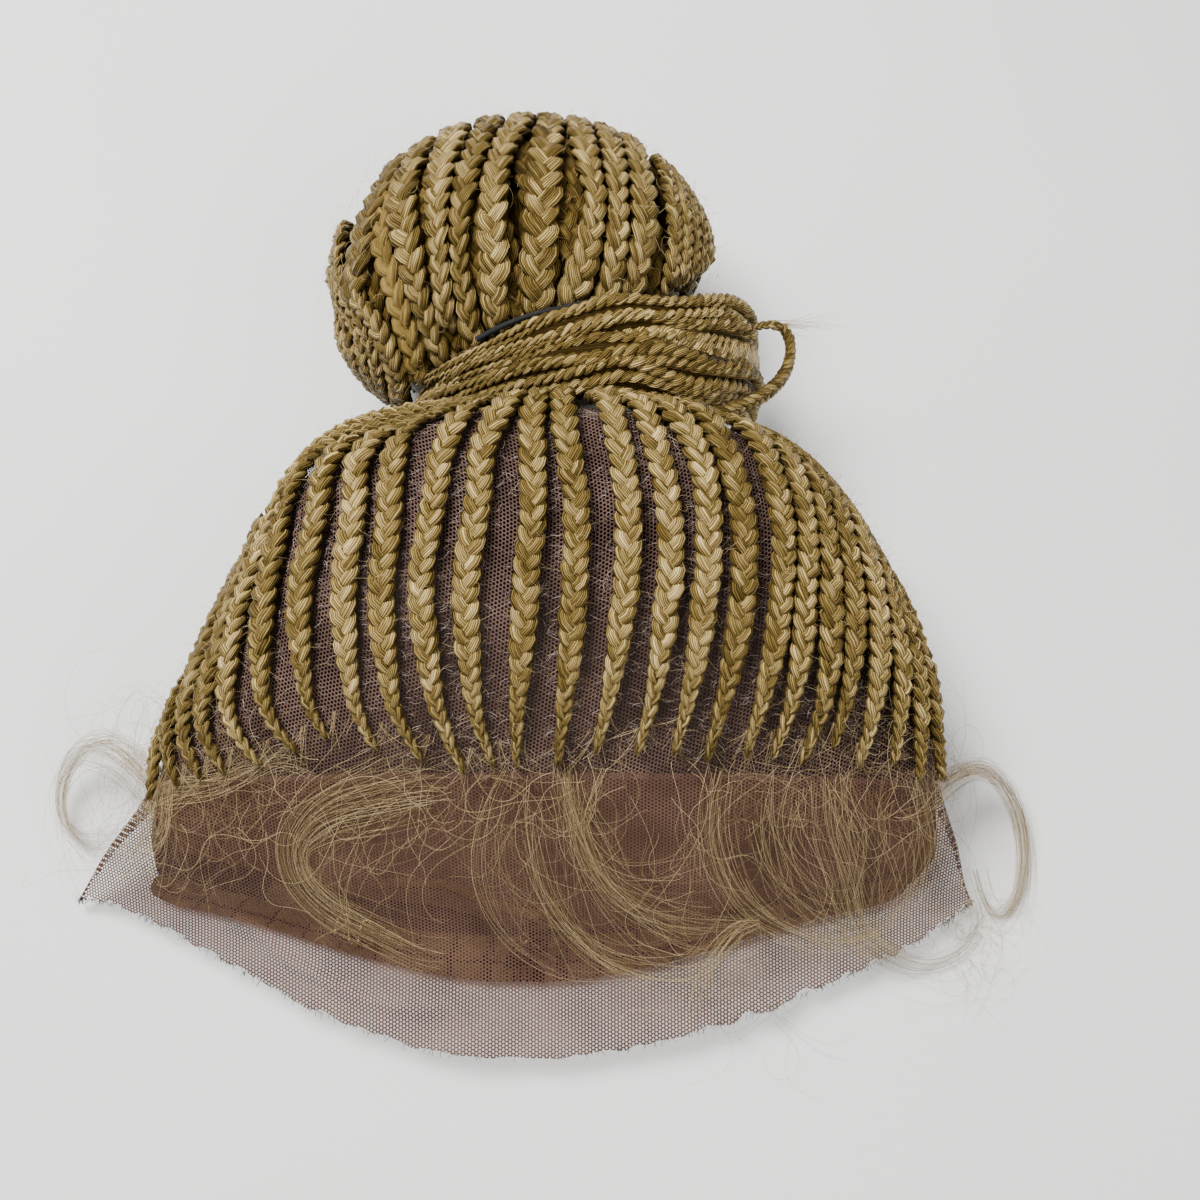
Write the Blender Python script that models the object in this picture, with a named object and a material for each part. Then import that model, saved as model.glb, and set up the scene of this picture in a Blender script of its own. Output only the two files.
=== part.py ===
"""Braided lace wig, lying on its back: a net cap with cornrows that run up into a coiled braid bun.

All driving sizes are in millimetres and the scene is in metres, +Z up, floor at z = 0.
The cap is one surface, cap_point(phi, t): phi runs round the head opening (0 right side,
90 top, 180 left side, 270 underneath) and t runs from the crown (0) to the mouth edge (9).
The bun is a second surface, bun_point(a, b): a runs from its left pole (0) to its right
pole (180) and b runs round it (0 facing the cap, 90 top, 180 back, 270 underneath).
"""
import math

import bmesh
import bpy
import numpy as np

MM = 0.001

# Where the middle of the finished wig stands, so that its box is centred on the origin.
CENTRE_X, CENTRE_Y = -19.73, 12.06

# Net cap
NET_WALL = 1.0
CAP_COLUMNS = 36
CAP_RINGS = (0.0, 0.5, 1.0, 2.0, 3.0, 3.7, 4.4, 5.1, 5.8, 6.1)
FRONT_RINGS = (6.15, 6.5, 7.2, 7.8, 8.4, 9.0)
TOP_ROUNDNESS, UNDER_ROUNDNESS = 0.82, 0.5
EDGE_SKEW = 0.34

# Cap stations from crown to mouth edge.
# Columns: y and z on top, y and z at the sides, x left, x right, y and z underneath, bow top, bow under
CAP_STATIONS = np.array([
    (55.0, 48.0, 55.0, 47.0, -14.0, -12.0, 55.0, 46.0, 0.5, 0.5),
    (53.0, 64.0, 53.0, 46.0, -36.0, 10.0, 53.0, 24.0, 0.5, 0.5),
    (48.5, 82.0, 48.5, 44.0, -62.0, 34.0, 50.0, 11.0, 0.5, 0.5),
    (38.0, 97.0, 36.0, 40.0, -97.0, 68.0, 38.0, 6.5, 0.5, 0.5),
    (8.0, 97.0, 2.0, 38.0, -112.0, 91.0, 5.0, 6.5, 0.5, 0.5),
    (-26.0, 87.0, -32.0, 35.0, -128.0, 103.0, -30.0, 6.5, 0.5, 0.5),
    (-60.0, 68.0, -60.0, 30.0, -142.0, 108.0, -65.0, 6.0, 0.5, 0.6),
    (-90.0, 41.0, -76.0, 20.0, -157.0, 115.0, -95.0, 5.0, 0.8, 1.2),
    (-113.0, 21.0, -86.0, 11.0, -166.0, 119.0, -110.0, 3.6, 1.1, 2.0),
    (-142.0, 14.5, -92.0, 6.0, -171.0, 122.0, -119.0, 2.2, 1.35, 2.8),
])

# Front cornrows: where each starts and ends along t, and its phi at four stations and at its end.
ROW_STATIONS = (2.6, 3.5, 4.5, 5.5)
ROW_HALF_WIDTH, ROW_HALF_HEIGHT, ROW_GAP = 4.1, 2.8, 0.75
ROW_END_HALF_WIDTH, ROW_TAPER_PER_T = 1.2, 3.0
ROW_SAMPLES = 13
CORNROWS = (
    # name, t start, t end, phi at 2.6, at 3.5, at 4.5, at 5.5, at the end
    ("cornrow_left_4", 5.85, 6.25, 172.0, 171.0, 169.0, 165.0, 156.0),
    ("cornrow_left_3", 5.50, 6.10, 170.0, 169.0, 167.0, 162.0, 147.2),
    ("cornrow_left_2", 5.25, 6.05, 160.0, 158.0, 157.0, 153.8, 140.5),
    ("cornrow_left_1", 4.90, 6.00, 154.0, 152.0, 150.4, 146.6, 135.0),
    ("cornrow_00", 4.25, 5.95, 150.0, 149.0, 147.5, 138.5, 127.7),
    ("cornrow_01", 3.55, 5.85, 152.0, 146.6, 139.0, 129.5, 121.3),
    ("cornrow_02", 3.30, 5.75, 136.7, 133.4, 129.7, 121.0, 116.4),
    ("cornrow_03", 3.30, 5.85, 129.9, 124.0, 120.5, 113.3, 108.7),
    ("cornrow_04", 3.45, 5.95, 120.0, 116.1, 113.6, 107.6, 102.2),
    ("cornrow_05", 3.30, 6.05, 99.9, 107.0, 107.4, 101.8, 96.9),
    ("cornrow_06", 2.90, 6.00, 94.3, 99.8, 100.8, 97.2, 93.9),
    ("cornrow_07", 2.95, 6.00, 91.3, 92.6, 93.1, 92.5, 91.8),
    ("cornrow_08", 3.05, 6.00, 88.5, 89.0, 89.0, 89.0, 89.0),
    ("cornrow_09", 3.00, 5.90, 80.5, 82.2, 83.4, 84.8, 85.6),
    ("cornrow_10", 3.00, 5.90, 74.1, 76.1, 77.7, 79.7, 81.0),
    ("cornrow_11", 3.05, 5.90, 67.9, 68.5, 72.3, 75.1, 76.4),
    ("cornrow_12", 3.10, 5.95, 59.1, 62.6, 66.2, 70.2, 72.0),
    ("cornrow_13", 3.10, 5.90, 45.9, 53.2, 59.4, 64.3, 66.2),
    ("cornrow_14", 3.35, 5.90, 39.0, 46.6, 54.8, 59.2, 62.0),
    ("cornrow_15", 3.75, 5.95, 36.0, 42.0, 49.3, 53.2, 57.2),
    ("cornrow_16", 3.80, 5.80, 30.0, 36.5, 43.3, 48.8, 51.0),
    ("cornrow_17", 3.95, 5.95, 24.0, 31.0, 36.3, 42.1, 45.5),
    ("cornrow_18", 4.05, 5.90, 17.0, 23.5, 30.3, 34.5, 36.4),
    ("cornrow_19", 4.35, 6.05, 22.0, 25.0, 25.2, 26.6, 28.1),
    ("cornrow_20", 4.75, 6.00, 22.0, 21.5, 20.2, 18.5, 16.3),
)

# Cornrows on the back of the head, pressed flat between the net and the floor.
BACK_ROW_X = (-88.0, -66.0, -44.0, -22.0, 0.0, 22.0, 44.0, 66.0)
BACK_ROW_CROWN_Y, BACK_ROW_NAPE_Y = 26.0, -92.0
BACK_ROW_HALF_WIDTH = 5.0
BACK_ROW_GAP = 0.5

# Bun core: centre, half sizes and turn about +Z
BUN_CENTRE = np.array((-26.0, 110.0, 52.0))
BUN_TURN = math.radians(10.0)
BUN_HALF_LENGTH = 60.0
BUN_HALF_FRONT, BUN_HALF_BACK = 46.0, 49.0
BUN_HALF_UP, BUN_HALF_DOWN = 46.0, 62.0
BUN_BRAID_HALF_WIDTH, BUN_BRAID_HALF_HEIGHT, BUN_BRAID_LIFT = 5.0, 3.0, 3.9
BUN_BRAID_END_B = 200.0
BUN_STATIONS = (30.0, 50.0, 70.0, 90.0, 110.0, 135.0)
BUN_BRAIDS = (
    # name, b where it starts, a at b = 30, 50, 70, 90, 110 and 135
    ("bun_braid_01", 66.0, 24.0, 26.0, 30.0, 35.0, 43.0, 56.0),
    ("bun_braid_02", 36.0, 62.5, 58.0, 56.5, 56.0, 56.5, 66.0),
    ("bun_braid_03", 56.0, 63.0, 64.2, 65.6, 66.8, 70.0, 76.5),
    ("bun_braid_04", 44.0, 71.0, 71.5, 71.0, 74.0, 80.0, 87.5),
    ("bun_braid_05", 52.0, 79.0, 79.0, 81.0, 83.5, 88.0, 97.0),
    ("bun_braid_06", 53.0, 88.0, 90.5, 94.5, 97.5, 101.5, 105.5),
    ("bun_braid_07", 53.0, 96.0, 100.5, 109.0, 114.0, 112.5, 114.0),
    ("bun_braid_08", 53.0, 103.0, 112.0, 117.5, 120.5, 122.0, 122.5),
    ("bun_braid_09", 53.0, 113.0, 120.0, 127.0, 130.0, 130.5, 131.0),
)

# Flat lobes of fine braids laid on the bun core.
LOBE_GAP = 1.15
LEFT_COIL = (
    # b, a low, a high, thickness
    (-26.0, 24.0, 44.0, 10.0),
    (-12.0, 19.0, 46.0, 9.5),
    (0.0, 16.0, 47.0, 9.0),
    (12.0, 13.0, 48.0, 8.5),
    (24.0, 11.0, 49.0, 7.5),
    (36.0, 9.0, 50.0, 7.0),
    (45.0, 8.0, 46.0, 6.5),
    (52.0, 8.0, 37.0, 6.0),
    (58.0, 8.0, 28.0, 6.0),
    (64.0, 8.0, 20.0, 6.0),
    (74.0, 8.0, 21.5, 6.0),
    (85.0, 8.0, 24.0, 6.0),
    (98.0, 8.0, 29.0, 6.0),
    (111.0, 8.0, 35.0, 6.0),
    (124.0, 8.0, 41.0, 6.0),
    (137.0, 8.0, 47.0, 6.0),
    (152.0, 8.0, 48.0, 6.0),
    (168.0, 9.0, 48.0, 6.0),
    (184.0, 10.0, 48.0, 6.0),
    (200.0, 12.0, 48.0, 6.0),
)
RIGHT_FAN = (
    # b, a low, a high, thickness
    (52.0, 132.0, 168.0, 6.5),
    (66.0, 136.0, 171.0, 6.5),
    (80.0, 138.5, 172.0, 6.5),
    (94.0, 139.0, 172.0, 6.5),
    (108.0, 140.0, 172.0, 6.5),
    (122.0, 140.0, 172.0, 6.5),
    (138.0, 140.0, 172.0, 6.5),
    (154.0, 140.0, 171.0, 6.5),
    (170.0, 140.0, 170.0, 6.5),
    (185.0, 140.0, 169.0, 6.5),
    (200.0, 140.0, 168.0, 6.5),
)

# Bundles of thin braids wound round the foot of the bun.
WRAP_LOWER = (
    # x, y, z, half width, half height
    (-60.0, 56.5, 52.0, 3.9, 3.0),
    (-50.0, 55.0, 66.0, 4.9, 4.0),
    (-33.0, 55.5, 79.0, 5.9, 4.5),
    (-14.0, 58.0, 86.0, 7.4, 4.5),
    (2.0, 58.5, 88.0, 9.3, 4.5),
    (18.0, 58.5, 84.0, 10.3, 4.5),
    (34.0, 60.5, 74.0, 10.3, 5.0),
    (46.0, 65.0, 58.0, 9.7, 5.0),
    (50.0, 66.5, 42.0, 6.9, 4.0),
)
WRAP_UPPER = (
    # x, y, z, half width, half height
    (-58.0, 64.5, 59.0, 3.0, 3.4),
    (-44.0, 64.8, 77.0, 3.9, 4.2),
    (-27.0, 67.1, 86.5, 4.5, 4.6),
    (-12.0, 70.5, 91.0, 5.9, 4.7),
    (3.0, 73.7, 92.0, 6.8, 4.9),
    (17.0, 76.5, 89.0, 7.0, 5.4),
    (32.0, 79.2, 79.0, 8.3, 5.4),
    (44.5, 84.0, 63.0, 8.9, 6.0),
    (50.0, 87.5, 47.0, 6.5, 4.4),
)
BUN_ELASTIC = (
    # a, b, lift above the bun core, half thickness
    (73.0, 42.0, 6.0, 0.9),
    (80.0, 45.5, 6.0, 0.9),
    (88.0, 48.0, 6.5, 0.9),
    (97.0, 49.0, 7.0, 0.9),
    (108.0, 49.3, 7.0, 0.9),
    (118.0, 49.0, 7.0, 0.9),
)
STRAY_BRAID = (
    # x, y, z, half width, half height
    (21.0, 45.5, 86.2, 2.0, 1.8),
    (35.0, 48.7, 76.6, 2.2, 2.0),
    (49.0, 56.0, 72.5, 2.2, 2.0),
    (57.0, 64.0, 68.0, 2.2, 2.0),
    (61.5, 74.0, 64.0, 2.2, 2.0),
    (62.0, 83.0, 62.0, 2.2, 2.0),
    (59.0, 88.0, 61.0, 1.6, 1.6),
)

# Nape band, its fittings and the hemmed panel, all on the inside of the net under the head.
BAND_PHI = (220.0, 320.0)
BAND_T = (7.5, 7.8, 8.4, 8.9)
BAND_GAP, BAND_THICKNESS = 0.35, 0.9
PANEL_HEM = (
    # x, y, z, half width, half height
    (-72.0, -87.0, 7.1, 1.6, 0.45),
    (-60.0, -86.5, 7.2, 1.6, 0.45),
    (-48.0, -88.0, 7.1, 1.6, 0.45),
    (-36.0, -93.0, 7.0, 1.6, 0.45),
    (-24.0, -96.5, 6.9, 1.6, 0.45),
    (-14.0, -96.5, 6.9, 1.6, 0.45),
)
ADJUSTER_STRAP = (
    # x, y, z, half width, half height
    (-108.0, -88.5, 8.0, 3.0, 0.45),
    (-102.0, -91.5, 7.8, 3.2, 0.45),
    (-95.0, -95.0, 7.5, 3.2, 0.45),
    (-89.0, -97.5, 7.5, 3.2, 0.45),
)
ADJUSTER_HOOK = (
    # x, y, z, half width, half height
    (-86.0, -103.0, 7.6, 0.6, 0.6),
    (-84.5, -97.5, 7.6, 0.6, 0.6),
    (-81.5, -98.0, 7.6, 0.6, 0.6),
    (-81.0, -105.0, 7.6, 0.6, 0.6),
    (-78.5, -106.0, 7.6, 0.6, 0.6),
    (-77.0, -99.5, 7.6, 0.6, 0.6),
    (-74.0, -100.0, 7.6, 0.6, 0.6),
    (-73.5, -107.0, 7.6, 0.6, 0.6),
)
COMB_CORNER = (-23.0, -110.7, 6.9)
COMB_SPINE, COMB_LENGTH, COMB_THICKNESS = 3.0, 12.0, 1.4
COMB_TEETH, COMB_TOOTH_REACH = 5, 7.0

# Locks of baby hair laid on the lace: phi, t, lift above the net, half width, half height
LOCK_SWEEP = (
    (97.0, 6.40, 1.5, 2.0, 0.8),
    (103.0, 6.42, 1.6, 3.0, 0.8),
    (110.0, 6.50, 1.6, 3.2, 0.8),
    (117.0, 6.68, 1.6, 3.0, 0.8),
    (120.0, 6.95, 1.6, 2.8, 0.8),
    (117.0, 7.25, 1.6, 2.6, 0.8),
    (110.0, 7.55, 1.6, 2.2, 0.8),
    (101.0, 7.85, 1.6, 1.4, 0.8),
)
LOCK_RIGHT = (
    # x, y, z, half width, half height
    (107.6, -57.2, 39.6, 1.8, 0.9),
    (116.0, -54.0, 33.0, 2.4, 0.9),
    (126.0, -52.0, 23.0, 2.6, 0.9),
    (135.0, -59.0, 14.0, 2.6, 0.9),
    (139.0, -70.0, 8.0, 2.6, 0.9),
    (139.5, -83.0, 4.0, 2.4, 0.9),
    (135.0, -94.0, 2.6, 2.2, 0.9),
    (128.5, -97.0, 2.6, 1.4, 0.9),
)
LOCK_LEFT = (
    # x, y, z, half width, half height
    (-141.2, -58.5, 40.0, 1.6, 0.9),
    (-151.0, -50.0, 36.0, 2.4, 0.9),
    (-164.0, -45.0, 27.0, 2.6, 0.9),
    (-175.0, -49.0, 18.0, 2.4, 0.9),
    (-179.0, -60.0, 11.0, 2.2, 0.9),
    (-174.0, -71.0, 7.0, 1.4, 0.9),
)

# Finishes: base colour (linear), roughness, metallic
FINISHES = {
    "braid_hair": ((0.41, 0.27, 0.11), 0.48, 0.0),
    "loose_hair": ((0.50, 0.35, 0.17), 0.50, 0.0),
    "cap_net": ((0.17, 0.10, 0.09), 0.85, 0.0),
    "nape_band": ((0.20, 0.15, 0.12), 0.80, 0.0),
    "panel_hem": ((0.30, 0.22, 0.07), 0.75, 0.0),
    "comb": ((0.06, 0.035, 0.025), 0.40, 0.0),
    "adjuster_hook": ((0.45, 0.36, 0.20), 0.30, 1.0),
    "black_elastic": ((0.012, 0.012, 0.012), 0.60, 0.0),
}

# Cross-sections of a laid braid, as shares of its half width and half height
ROUNDED = ((-1.0, 0.0), (-0.6, -1.0), (0.6, -1.0), (1.0, 0.0), (0.55, 1.0), (-0.55, 1.0))
FLAT = ((-1.0, -1.0), (1.0, -1.0), (1.0, 1.0), (-1.0, 1.0))


def clear_scene():
    """Remove every object that the start-up scene holds."""
    for thing in list(bpy.data.objects):
        bpy.data.objects.remove(thing, do_unlink=True)


def make_materials():
    """One Principled material for each finish."""
    made = {}
    for name, (colour, roughness, metallic) in FINISHES.items():
        material = bpy.data.materials.new(name)
        material.use_nodes = True
        shader = material.node_tree.nodes["Principled BSDF"]
        shader.inputs["Base Color"].default_value = (*colour, 1.0)
        shader.inputs["Roughness"].default_value = roughness
        shader.inputs["Metallic"].default_value = metallic
        material.diffuse_color = (*colour, 1.0)
        made[name] = material
    return made


def add_piece(name, points, faces, material, parent):
    """Make one named object from points in millimetres, placed by its own location."""
    points = np.asarray(points, float)
    home = np.round((points.min(axis=0) + points.max(axis=0)) / 2.0, 1)
    home[2] = 0.0
    mesh = bpy.data.meshes.new(name)
    mesh.from_pydata(((points - home) * MM).tolist(), [], faces)
    mesh.validate()
    body = bmesh.new()
    body.from_mesh(mesh)
    bmesh.ops.recalc_face_normals(body, faces=body.faces)
    body.to_mesh(mesh)
    body.free()
    thing = bpy.data.objects.new(name, mesh)
    thing.location = ((home[0] - CENTRE_X) * MM, (home[1] - CENTRE_Y) * MM, 0.0)
    thing.parent = parent
    bpy.context.scene.collection.objects.link(thing)
    mesh.materials.append(material)
    return thing


def smooth_row(table, t):
    """Smooth values of a table of rows at the row number t."""
    last = len(table) - 1
    t = min(max(t, 0.0), last - 1e-9)
    row = int(t)
    share = t - row
    before = table[row - 1] if row > 0 else 2 * table[0] - table[1]
    after = table[row + 2] if row + 2 <= last else 2 * table[last] - table[last - 1]
    here, there = table[row], table[row + 1]
    return 0.5 * (2 * here + (there - before) * share
                  + (2 * before - 5 * here + 4 * there - after) * share ** 2
                  + (3 * here - before - 3 * there + after) * share ** 3)


def cap_point(phi, t):
    """Point on the outside of the net, in millimetres."""
    (y_top, z_top, y_side, z_side, left, right,
     y_under, z_under, bow_top, bow_under) = smooth_row(CAP_STATIONS, t)
    across, up = math.cos(math.radians(phi)), math.sin(math.radians(phi))
    on_top = up >= 0.0
    power = TOP_ROUNDNESS if on_top else UNDER_ROUNDNESS
    reach = math.copysign(abs(across) ** power, across)
    inside = max(1.0 - reach * reach, 1e-9)
    skew = EDGE_SKEW * reach * min(max((bow_top - 0.5) / 0.85, 0.0), 1.0)
    bow = bow_top * (1.0 - skew) if on_top else bow_under
    y_end, z_end = (y_top, z_top) if on_top else (y_under, z_under)
    return np.array((
        (left + right) / 2.0 + (right - left) / 2.0 * reach,
        y_side + (y_end - y_side) * inside ** bow,
        z_side + (z_end - z_side) * abs(up) ** power,
    ))


def cap_normal(phi, t):
    """Outward direction of the net."""
    round_step = cap_point(phi + 0.4, t) - cap_point(phi - 0.4, t)
    long_step = cap_point(phi, t + 0.02) - cap_point(phi, t - 0.02)
    normal = np.cross(round_step, long_step)
    return normal / np.linalg.norm(normal)


def bun_point(a, b, lift=0.0):
    """Point above the bun core and the outward direction there."""
    a, b = math.radians(a), math.radians(b)
    depth = BUN_HALF_FRONT if math.cos(b) > 0 else BUN_HALF_BACK
    height = BUN_HALF_UP if math.sin(b) > 0 else BUN_HALF_DOWN
    local = np.array((
        -BUN_HALF_LENGTH * math.cos(a),
        -depth * math.sin(a) * math.cos(b),
        height * math.sin(a) * math.sin(b),
    ))
    normal = local / np.array((BUN_HALF_LENGTH, depth, height)) ** 2
    normal /= np.linalg.norm(normal)
    local = local + normal * lift
    turn = np.array((
        (math.cos(BUN_TURN), -math.sin(BUN_TURN), 0.0),
        (math.sin(BUN_TURN), math.cos(BUN_TURN), 0.0),
        (0.0, 0.0, 1.0),
    ))
    return BUN_CENTRE + turn @ local, turn @ normal


def sweep(centres, normals, half_widths, half_heights, section):
    """Closed solid that carries a section along a path."""
    centres, normals = np.asarray(centres), np.asarray(normals)
    along = np.gradient(centres, axis=0)
    along /= np.linalg.norm(along, axis=1, keepdims=True)
    across = np.cross(along, normals)
    across /= np.linalg.norm(across, axis=1, keepdims=True)
    up = np.cross(across, along)
    points, faces = [], []
    sides = len(section)
    for i, centre in enumerate(centres):
        for wide, high in section:
            points.append(centre + across[i] * wide * half_widths[i] + up[i] * high * half_heights[i])
    for i in range(len(centres) - 1):
        for k in range(sides):
            nxt = (k + 1) % sides
            faces.append((i * sides + k, i * sides + nxt, (i + 1) * sides + nxt, (i + 1) * sides + k))
    faces.append(tuple(range(sides))[::-1])
    faces.append(tuple((len(centres) - 1) * sides + k for k in range(sides)))
    return points, faces


def fit_widths(paths, half_widths, clearance):
    """Narrow each braid where a neighbour's centre line comes close."""
    fitted = []
    for i, path in enumerate(paths):
        others = np.concatenate([dense_path(other) for k, other in enumerate(paths) if k != i])
        nearest = np.array([np.linalg.norm(others - p, axis=1).min() for p in path])
        fitted.append(np.clip(np.minimum(half_widths[i], nearest / 2.0 - clearance), 0.8, None))
    return fitted


def dense_path(path, steps=6):
    """The same path with points between its own."""
    shares = np.arange(steps) / steps
    spans = [path[i] + (path[i + 1] - path[i]) * s for i in range(len(path) - 1) for s in shares]
    return np.array(spans + [path[-1]])


def build_cap(materials, parent):
    """The net: a bag from the crown to the hairline, and the lace ring from there to its cut edge."""
    build_net("lace_cap", CAP_RINGS, materials, parent)
    build_net("lace_front", FRONT_RINGS, materials, parent)


def build_net(name, rings, materials, parent):
    """One part of the net with a wall, closed at the crown if its first ring is at 0."""
    columns = CAP_COLUMNS
    points, faces = [], []
    start = 0
    if rings[0] == 0.0:
        points, start, rings = [cap_point(0.0, 0.0)], 1, rings[1:]
        faces = [(0, 1 + k, 1 + (k + 1) % columns) for k in range(columns)]
    for t in rings:
        points += [cap_point(360.0 * k / columns, t) for k in range(columns)]
    for ring in range(len(rings) - 1):
        first, second = start + ring * columns, start + (ring + 1) * columns
        for k in range(columns):
            nxt = (k + 1) % columns
            faces.append((first + k, second + k, second + nxt, first + nxt))
    net = add_piece(name, points, faces, materials["cap_net"], parent)
    wall = net.modifiers.new("wall", "SOLIDIFY")
    wall.thickness = NET_WALL * MM
    wall.offset = -1.0


def row_path(row):
    """Line on the net, normals and free half widths of one front cornrow."""
    name, start, end, *phis = row
    knots = (*ROW_STATIONS, max(end, ROW_STATIONS[-1] + 0.05))
    ts = np.linspace(start, end, ROW_SAMPLES)
    spots = [(float(np.interp(t, knots, phis)), float(t)) for t in ts]
    normals = [cap_normal(*spot) for spot in spots]
    widths = np.minimum(ROW_HALF_WIDTH, ROW_END_HALF_WIDTH + (end - ts) * ROW_TAPER_PER_T)
    widths[0] *= 0.8
    return np.array([cap_point(*spot) for spot in spots]), np.array(normals), widths


def build_cornrows(materials, parent):
    """The cornrows that show on the front of the cap."""
    laid = [row_path(row) for row in CORNROWS]
    lines = [line + normals * (ROW_HALF_HEIGHT + ROW_GAP) for line, normals, free in laid]
    widths = fit_widths(lines, [path[2] for path in laid], 0.3)
    for row, (line, normals, free), wide in zip(CORNROWS, laid, widths):
        high = np.minimum(ROW_HALF_HEIGHT, 1.6 + 0.4 * wide)
        centres = line + normals * (high + ROW_GAP)[:, None]
        points, faces = sweep(centres, normals, wide, high, ROUNDED)
        add_piece(row[0], points, faces, materials["braid_hair"], parent)


def under_height(x, y):
    """Height of the underside of the net over the floor point x, y."""
    best = (1e9, 0.0)
    for t in np.arange(2.2, 9.0, 0.05):
        left, right = smooth_row(CAP_STATIONS, t)[4:6]
        reach = (2.0 * x - left - right) / (right - left)
        if abs(reach) < 0.98:
            across = math.copysign(abs(reach) ** (1.0 / UNDER_ROUNDNESS), reach)
            point = cap_point(360.0 - math.degrees(math.acos(across)), t)
            best = min(best, (abs(point[1] - y), point[2]))
    return best[1]


def build_back_rows(materials, parent):
    """The cornrows under the head, with flat undersides on the floor."""
    for number, x in enumerate(BACK_ROW_X, start=1):
        lean = (x + 12.0) * 0.12
        ys = np.linspace(BACK_ROW_CROWN_Y, BACK_ROW_NAPE_Y + abs(lean), 8)
        xs = x + lean * (BACK_ROW_CROWN_Y - ys) / 100.0
        wide = np.full(8, BACK_ROW_HALF_WIDTH)
        wide[-2:] = (4.0, 2.5)
        heights = np.array([min(under_height(px - w, py), under_height(px + w, py)) - BACK_ROW_GAP
                            for px, py, w in zip(xs, ys, wide)])
        points, faces = [], []
        for px, py, w, high in zip(xs, ys, wide, heights):
            points += [(px - w, py, 0.0), (px + w, py, 0.0), (px + w, py, high), (px - w, py, high)]
        for i in range(7):
            for k in range(4):
                nxt = (k + 1) % 4
                faces.append((i * 4 + k, i * 4 + nxt, (i + 1) * 4 + nxt, (i + 1) * 4 + k))
        faces += [(3, 2, 1, 0), (28, 29, 30, 31)]
        add_piece(f"back_cornrow_{number}", points, faces, materials["braid_hair"], parent)


def build_bun(materials, parent):
    """The bun core, its laid braids and its two lobes of fine braids."""
    columns, rings = 24, 11
    points = [bun_point(0.0, 0.0)[0]]
    for ring in range(1, rings + 1):
        points += [bun_point(180.0 * ring / (rings + 1), 360.0 * k / columns)[0] for k in range(columns)]
    points.append(bun_point(180.0, 0.0)[0])
    points = np.array(points)
    points[:, 2] = np.maximum(points[:, 2], 0.0)
    faces = []
    last = len(points) - 1
    for k in range(columns):
        nxt = (k + 1) % columns
        faces.append((0, 1 + nxt, 1 + k))
        faces.append((last, last - columns + k, last - columns + nxt))
        for ring in range(rings - 1):
            first, second = 1 + ring * columns, 1 + (ring + 1) * columns
            faces.append((first + k, first + nxt, second + nxt, second + k))
    add_piece("bun_core", points, faces, materials["braid_hair"], parent)

    paths, outs = [], []
    for name, start, *places in BUN_BRAIDS:
        bs = np.linspace(start, BUN_BRAID_END_B, 13)
        spots = [bun_point(float(np.interp(b, BUN_STATIONS, places)), b, BUN_BRAID_LIFT) for b in bs]
        paths.append(np.array([spot[0] for spot in spots]))
        outs.append([spot[1] for spot in spots])
    widths = fit_widths(paths, [np.full(13, BUN_BRAID_HALF_WIDTH)] * len(paths), 0.3)
    for braid, path, out, wide in zip(BUN_BRAIDS, paths, outs, widths):
        points, faces = sweep(path, out, wide, np.full(13, BUN_BRAID_HALF_HEIGHT), ROUNDED)
        add_piece(braid[0], points, faces, materials["braid_hair"], parent)

    for name, table in (("bun_left_coil", LEFT_COIL), ("bun_right_fan", RIGHT_FAN)):
        build_lobe(name, table, materials, parent)


def build_lobe(name, table, materials, parent, steps=6):
    """A flat lobe of hair that lies on the bun core."""
    points, faces = [], []
    for b, low, high, thickness in table:
        across = np.linspace(low, high, steps + 1)
        points += [bun_point(a, b, LOBE_GAP)[0] for a in across]
        edge = [0.55] + [1.0] * (steps - 1) + [0.55]
        points += [bun_point(a, b, LOBE_GAP + thickness * share)[0] for a, share in zip(across, edge)][::-1]
    ring = 2 * (steps + 1)
    for i in range(len(table) - 1):
        for k in range(ring):
            nxt = (k + 1) % ring
            faces.append((i * ring + k, i * ring + nxt, (i + 1) * ring + nxt, (i + 1) * ring + k))
    for start in (0, (len(table) - 1) * ring):
        for k in range(steps):
            faces.append((start + k, start + k + 1, start + ring - 2 - k, start + ring - 1 - k))
    add_piece(name, points, faces, materials["braid_hair"], parent)


def build_laid(name, table, around, section, material, parent, rounds=1):
    """A braid or band along a table of points, with its back towards the point around."""
    table = np.array(table)
    if rounds > 1:
        table = np.array([smooth_row(table, i / rounds) for i in range((len(table) - 1) * rounds + 1)])
    centres = table[:, :3]
    if around is None:
        normals = np.tile((0.0, 0.0, 1.0), (len(centres), 1))
    else:
        normals = centres - np.asarray(around)
        normals /= np.linalg.norm(normals, axis=1, keepdims=True)
    points, faces = sweep(centres, normals, table[:, 3], table[:, 4], section)
    add_piece(name, points, faces, material, parent)


def build_elastic(materials, parent):
    """The black elastic that shows between the wound bundles and the bun."""
    spots = [bun_point(a, b, lift) for a, b, lift, thick in BUN_ELASTIC]
    thick = [row[3] for row in BUN_ELASTIC]
    points, faces = sweep([spot[0] for spot in spots], [spot[1] for spot in spots], thick, thick, ROUNDED)
    add_piece("bun_elastic", points, faces, materials["black_elastic"], parent)


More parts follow.
